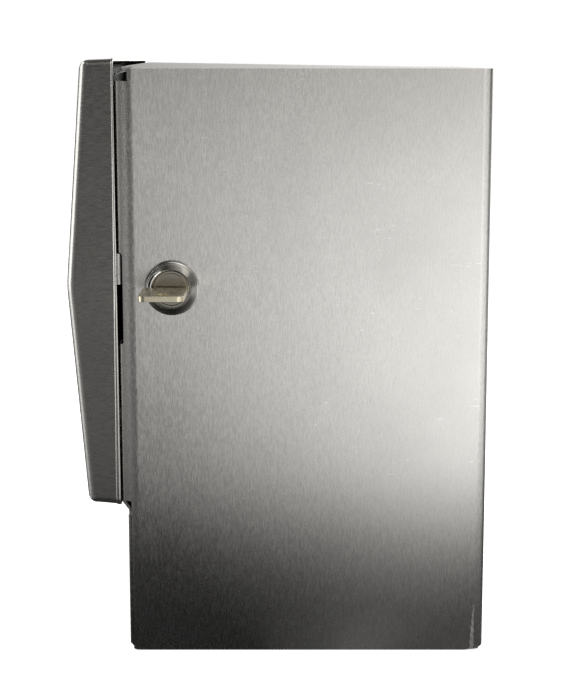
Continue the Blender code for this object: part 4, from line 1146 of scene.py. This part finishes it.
def leaf_holes(axis, across, low, high):
    """The three rivet holes of a leaf."""
    for z in RIVET_HEIGHTS:
        yield prism(circle((across, z), 1.7 * MM, 24), axis, low, high)


RIVET_HEIGHTS = (90 * MM, 149 * MM, 208 * MM)
body_leaf = finish(box((-87.4 * MM, FRONT - 1.3 * MM, HINGE_LOW),
                       (-69 * MM, FRONT - 0.3 * MM, HINGE_HIGH - 0.4 * MM)), "body_leaf", bright_steel)
door_leaf = finish(box((-89.5 * MM, FRONT - 2.9 * MM, HINGE_LOW),
                       (-83.5 * MM, FRONT - 1.7 * MM, HINGE_HIGH - 0.4 * MM)), "door_leaf", bright_steel)
join(door_leaf, box((-84.5 * MM, FRONT - 12 * MM, HINGE_LOW),
                    (-83.5 * MM, FRONT - 2.3 * MM, HINGE_HIGH - 0.4 * MM)))
for k in range(5):
    low = HINGE_LOW + k * KNUCKLE_PITCH - 0.2 * MM
    high = low + KNUCKLE_PITCH + 0.4 * MM
    if k % 2:
        cut(body_leaf, box((-95 * MM, FRONT - 5 * MM, low), (-86.45 * MM, FRONT + 5 * MM, high)))
    else:
        cut(door_leaf, box((-95 * MM, FRONT - 5 * MM, low), (-86.45 * MM, FRONT + 5 * MM, high)))
cut(body_leaf, *leaf_holes("Y", -76 * MM, FRONT - 3 * MM, FRONT + MM))
cut(door_leaf, *leaf_holes("X", FRONT - 8 * MM, -90 * MM, -80 * MM))
for obj in (body_leaf, door_leaf):
    ease_edges(obj, 0.15 * MM)
settled(body_leaf, "body_hinge_leaf", "body", "bright_steel", "hinge_leaf_body")
settled(door_leaf, "door_hinge_leaf", "door", "bright_steel", "hinge_leaf_door")
for name, body, first, count in (("body_knuckles", "body", 0, 3), ("door_knuckles", "door", 1, 2)):
    rolled = knuckles(first, count)
    rolled.name = name
    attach(rolled, body)
pin_profile = [
    (HINGE_LOW - MM, 0), (HINGE_LOW - MM, 0.8 * MM), (HINGE_LOW - 0.7 * MM, 1.05 * MM),
    (HINGE_HIGH, 1.05 * MM), (HINGE_HIGH, 1.9 * MM), (HINGE_HIGH + 0.7 * MM, 1.8 * MM),
    (HINGE_HIGH + 1.1 * MM, 1.2 * MM), (HINGE_HIGH + 1.2 * MM, 0),
]
settled(finish(turned(pin_profile, HINGE, "Z", 32), "pin", bright_steel), "hinge_pin_rod", "body",
        "bright_steel", "hinge_pin")

# ---------------------------------------------------------------------------------------------------
# Hinge rivets: steel pop rivets, three to each leaf, with a low domed head and a rolled tail.


def pop_rivet(centre, axis, head_at, tail_at, name):
    """One pop rivet, with the pulled stem's hollow in its head."""
    out = 1 if head_at > tail_at else -1
    profile = [(head_at + out * 0.45 * MM, 0), (head_at + out * 0.45 * MM, 0.7 * MM),
               (head_at + out * 0.85 * MM, 0.85 * MM)]
    profile += [(head_at + out * 0.85 * cos(a) * MM, (0.9 + 1.7 * sin(a)) * MM)
                for a in [pi / 2 * k / 7 for k in range(1, 8)]]
    profile += [(head_at, 1.4 * MM), (tail_at, 1.4 * MM)]
    profile += [(tail_at - out * 1.1 * sin(a) * MM, (1.3 + 0.9 * cos(a)) * MM)
                for a in [pi / 2 * k / 5 for k in range(6)]]
    profile.append((tail_at - out * 1.1 * MM, 0))
    return finish(turned(profile, centre, axis, 28), name)


rivet_step = (0, 0, RIVET_HEIGHTS[1] - RIVET_HEIGHTS[0])
for name, body, centre, axis, head_at, tail_at in (
    ("body", "body", (-76 * MM, 0, RIVET_HEIGHTS[0]), "Y", FRONT - 1.6 * MM, FRONT + 1.5 * MM),
    ("door", "door", (0, FRONT - 8 * MM, RIVET_HEIGHTS[0]), "X", -88.3 * MM, -83.2 * MM),
):
    rivets = in_a_row(pop_rivet(centre, axis, head_at, tail_at, "rivets"), 3, rivet_step, bright_steel)
    settled(rivets, f"{name}_leaf_rivets", body, "bright_steel",
            *[f"hinge_rivet_{name}_{k}" for k in (1, 2, 3)])

# ---------------------------------------------------------------------------------------------------
# Coin funnel: four sheet walls welded into a chute under the slot, with a flange behind that hangs from
# two studs welded under the top.

FUNNEL_TOP = 233.5 * MM
FUNNEL_BOTTOM = 178 * MM
STUD = Vector((-50 * MM, FRONT + 24 * MM, 0))


def chute(low_in, top_in):
    """A closed four-sided funnel block, or with a wall its inside."""
    bm = bmesh.new()
    rings = []
    for (low, high), z in ((((-50 * MM, -61 * MM), (50 * MM, -40 * MM)), FUNNEL_BOTTOM - low_in),
                           (((-84 * MM, FRONT + 1.8 * MM), (84 * MM, -58 * MM)), FUNNEL_TOP + low_in)):
        points = rounded_outline((low[0] + top_in, low[1] + top_in), (high[0] - top_in, high[1] - top_in),
                                 (2.5 * MM - top_in,) * 4, 5)
        rings.append([bm.verts.new((x, y, z)) for x, y in points])
    for ring in rings:
        bm.faces.new(ring)
    count = len(rings[0])
    for i in range(count):
        j = (i + 1) % count
        bm.faces.new((rings[0][i], rings[0][j], rings[1][j], rings[1][i]))
    return bm


funnel = finish(chute(0, 0), "funnel", mill_steel)
join(funnel, box((-70 * MM, -58.6 * MM, FUNNEL_TOP - SHEET), (70 * MM, -42 * MM, FUNNEL_TOP)))
stud_holes = [prism(circle((x, STUD.y), 2.3 * MM, 24), "Z", FUNNEL_TOP - 4 * MM, FUNNEL_TOP + 4 * MM)
              for x in (STUD.x, -STUD.x)]
cut(funnel, chute(0.01 * MM, SHEET), *stud_holes)
ease_edges(funnel, 0.15 * MM)
settled(funnel, "sheet_funnel", "body", "satin_steel", "coin_funnel")

stud_top = HEIGHT - SHEET - 0.3 * MM + crown(abs(STUD.x) + 3 * MM, STUD.y + 3 * MM)
stud_profile = [(stud_top, 0), (stud_top, 3 * MM), (stud_top - 0.8 * MM, 3 * MM),
                (stud_top - 0.8 * MM, 1.95 * MM), (stud_top - 1.6 * MM, 1.95 * MM)]
for k in range(13):
    stud_profile += [(stud_top - (2.0 + 0.75 * k) * MM, 1.7 * MM),
                     (stud_top - (2.35 + 0.75 * k) * MM, 1.95 * MM)]
stud_profile += [(stud_top - 12 * MM, 1.6 * MM), (stud_top - 12 * MM, 0)]
across = (-2 * STUD.x, 0, 0)
studs = in_a_row(finish(turned(stud_profile, STUD, "Z", 32), "studs"), 2, across, bright_steel)
settled(studs, "hanging_studs", "body", "bright_steel", "funnel_stud_1", "funnel_stud_2")
nut_top = FUNNEL_TOP - SHEET - 0.3 * MM
nuts = in_a_row(hexagon(STUD, 4 * MM, "Z", nut_top - 3.2 * MM, nut_top, 2.3 * MM), 2, across, zinc_plate)
settled(nuts, "hanging_nuts", "body", "zinc", "funnel_nut_1", "funnel_nut_2")

# ---------------------------------------------------------------------------------------------------
# Cash bin: an open bin drawn from 1 mm sheet, with its top edge hemmed. It stands in the bottom pan and
# lifts out over the sill.

BIN_HALF = 56 * MM
BIN_FRONT = -69.4 * MM
BIN_BACK = 71 * MM
BIN_BASE = 1.5 * MM
BIN_TOP = 88 * MM


def bin_block(wall, low, high):
    """A rounded block the size of the bin, less a wall all round."""
    points = rounded_outline((-BIN_HALF + wall, BIN_FRONT + wall), (BIN_HALF - wall, BIN_BACK - wall),
                             (4 * MM - wall,) * 4, 8)
    return prism(points, "Z", low, high)


outside = bin_block(0, BIN_BASE, BIN_TOP)
foot_edges = [e for e in outside.edges if all(abs(v.co.z - BIN_BASE) < 1e-7 for v in e.verts)]
bmesh.ops.bevel(outside, geom=foot_edges, offset=1.6 * MM, segments=4, profile=0.5, affect="EDGES")
bin_sheet = finish(outside, "bin", mill_steel)
cut(bin_sheet, bin_block(MM, BIN_BASE + MM, BIN_TOP - 7 * MM),
    bin_block(1.6 * MM, BIN_TOP - 8 * MM, BIN_TOP + 3 * MM))
for side in (-1, 1):
    near, far = sorted((side * (BIN_HALF - 4 * MM), side * (BIN_HALF + 4 * MM)))
    cut(bin_sheet, prism(circle((0, 82 * MM), 1.7 * MM, 24), "X", near, far))
ease_edges(bin_sheet, 0.25 * MM)
settled(bin_sheet, "hemmed_bin", "bin", "bright_steel", "cash_bin")

# ---------------------------------------------------------------------------------------------------
# Bail ears and their rivets: two steel plates, one riveted to each side of the bin, whose upper holes
# hold the ends of the wire handle.

BAIL_Z = 89.8 * MM
ear_edge = [(-6 * MM, 77 * MM), (6 * MM, 77 * MM)] + [
    (6 * MM * cos(pi * k / 16), BAIL_Z + 6 * MM * sin(pi * k / 16)) for k in range(17)]
EAR_HOLES = ((82 * MM, 1.7 * MM), (BAIL_Z, 1.8 * MM))
for side, word in ((-1, "left"), (1, "right")):
    near, far = sorted((side * 56.3 * MM, side * 57.5 * MM))
    ear = finish(prism(ear_edge, "X", near, far), "ear", bright_steel)
    cut(ear, *[prism(circle((0, z), r, 28), "X", near - MM, far + MM) for z, r in EAR_HOLES])
    ease_edges(ear, 0.2 * MM)
    settled(ear, f"{word}_ear", "bin", "bright_steel", f"bail_ear_{word}")
    rivet = pop_rivet((0, 0, 82 * MM), "X", side * 57.8 * MM, side * 54.7 * MM, "rivet")
    rivet.data.materials.append(bright_steel)
    settled(rivet, f"{word}_ear_rivet", "bin", "bright_steel", f"ear_rivet_{word}")

# ---------------------------------------------------------------------------------------------------
# Bail: the bin's handle, one length of 3 mm bright wire bent at its corners, its ends turned in through
# the ears.


def arc(centre, radius, start, end, steps):
    """Points along an arc, leaving out its first."""
    return [Vector((centre[0] + radius * cos(a), centre[1] + radius * sin(a), BAIL_Z))
            for a in [start + (end - start) * k / steps for k in range(1, steps + 1)]]


WIRE = 1.5 * MM
half_bail = [Vector((-53 * MM, 0, BAIL_Z)), Vector((-57.2 * MM, 0, BAIL_Z))]
half_bail += arc((-57.2 * MM, -2.2 * MM), 2.2 * MM, pi / 2, pi, 6)
half_bail += arc((-53.4 * MM, -46 * MM), 6 * MM, pi, 3 * pi / 2, 8)
bail_path = half_bail + [Vector((-p.x, p.y, p.z)) for p in reversed(half_bail)]
wire_bm = bmesh.new()
rings = []
for i, point in enumerate(bail_path):
    into = (point - bail_path[i - 1]).normalized() if i else None
    out = (bail_path[i + 1] - point).normalized() if i + 1 < len(bail_path) else None
    along = ((into or out) + (out or into)).normalized()
    sideways = Vector((-along.y, along.x, 0))
    rings.append([wire_bm.verts.new(point + WIRE * (sideways * cos(a) + Vector((0, 0, sin(a)))))
                  for a in [2 * pi * k / 20 for k in range(20)]])
for first, second in zip(rings, rings[1:]):
    for k in range(20):
        j = (k + 1) % 20
        wire_bm.faces.new((first[k], first[j], second[j], second[k]))
for ring in (rings[0], rings[-1]):
    wire_bm.faces.new(ring)
settled(finish(wire_bm, "wire", bright_steel), "wire_bail", "bail", "bright_steel", "bin_bail")
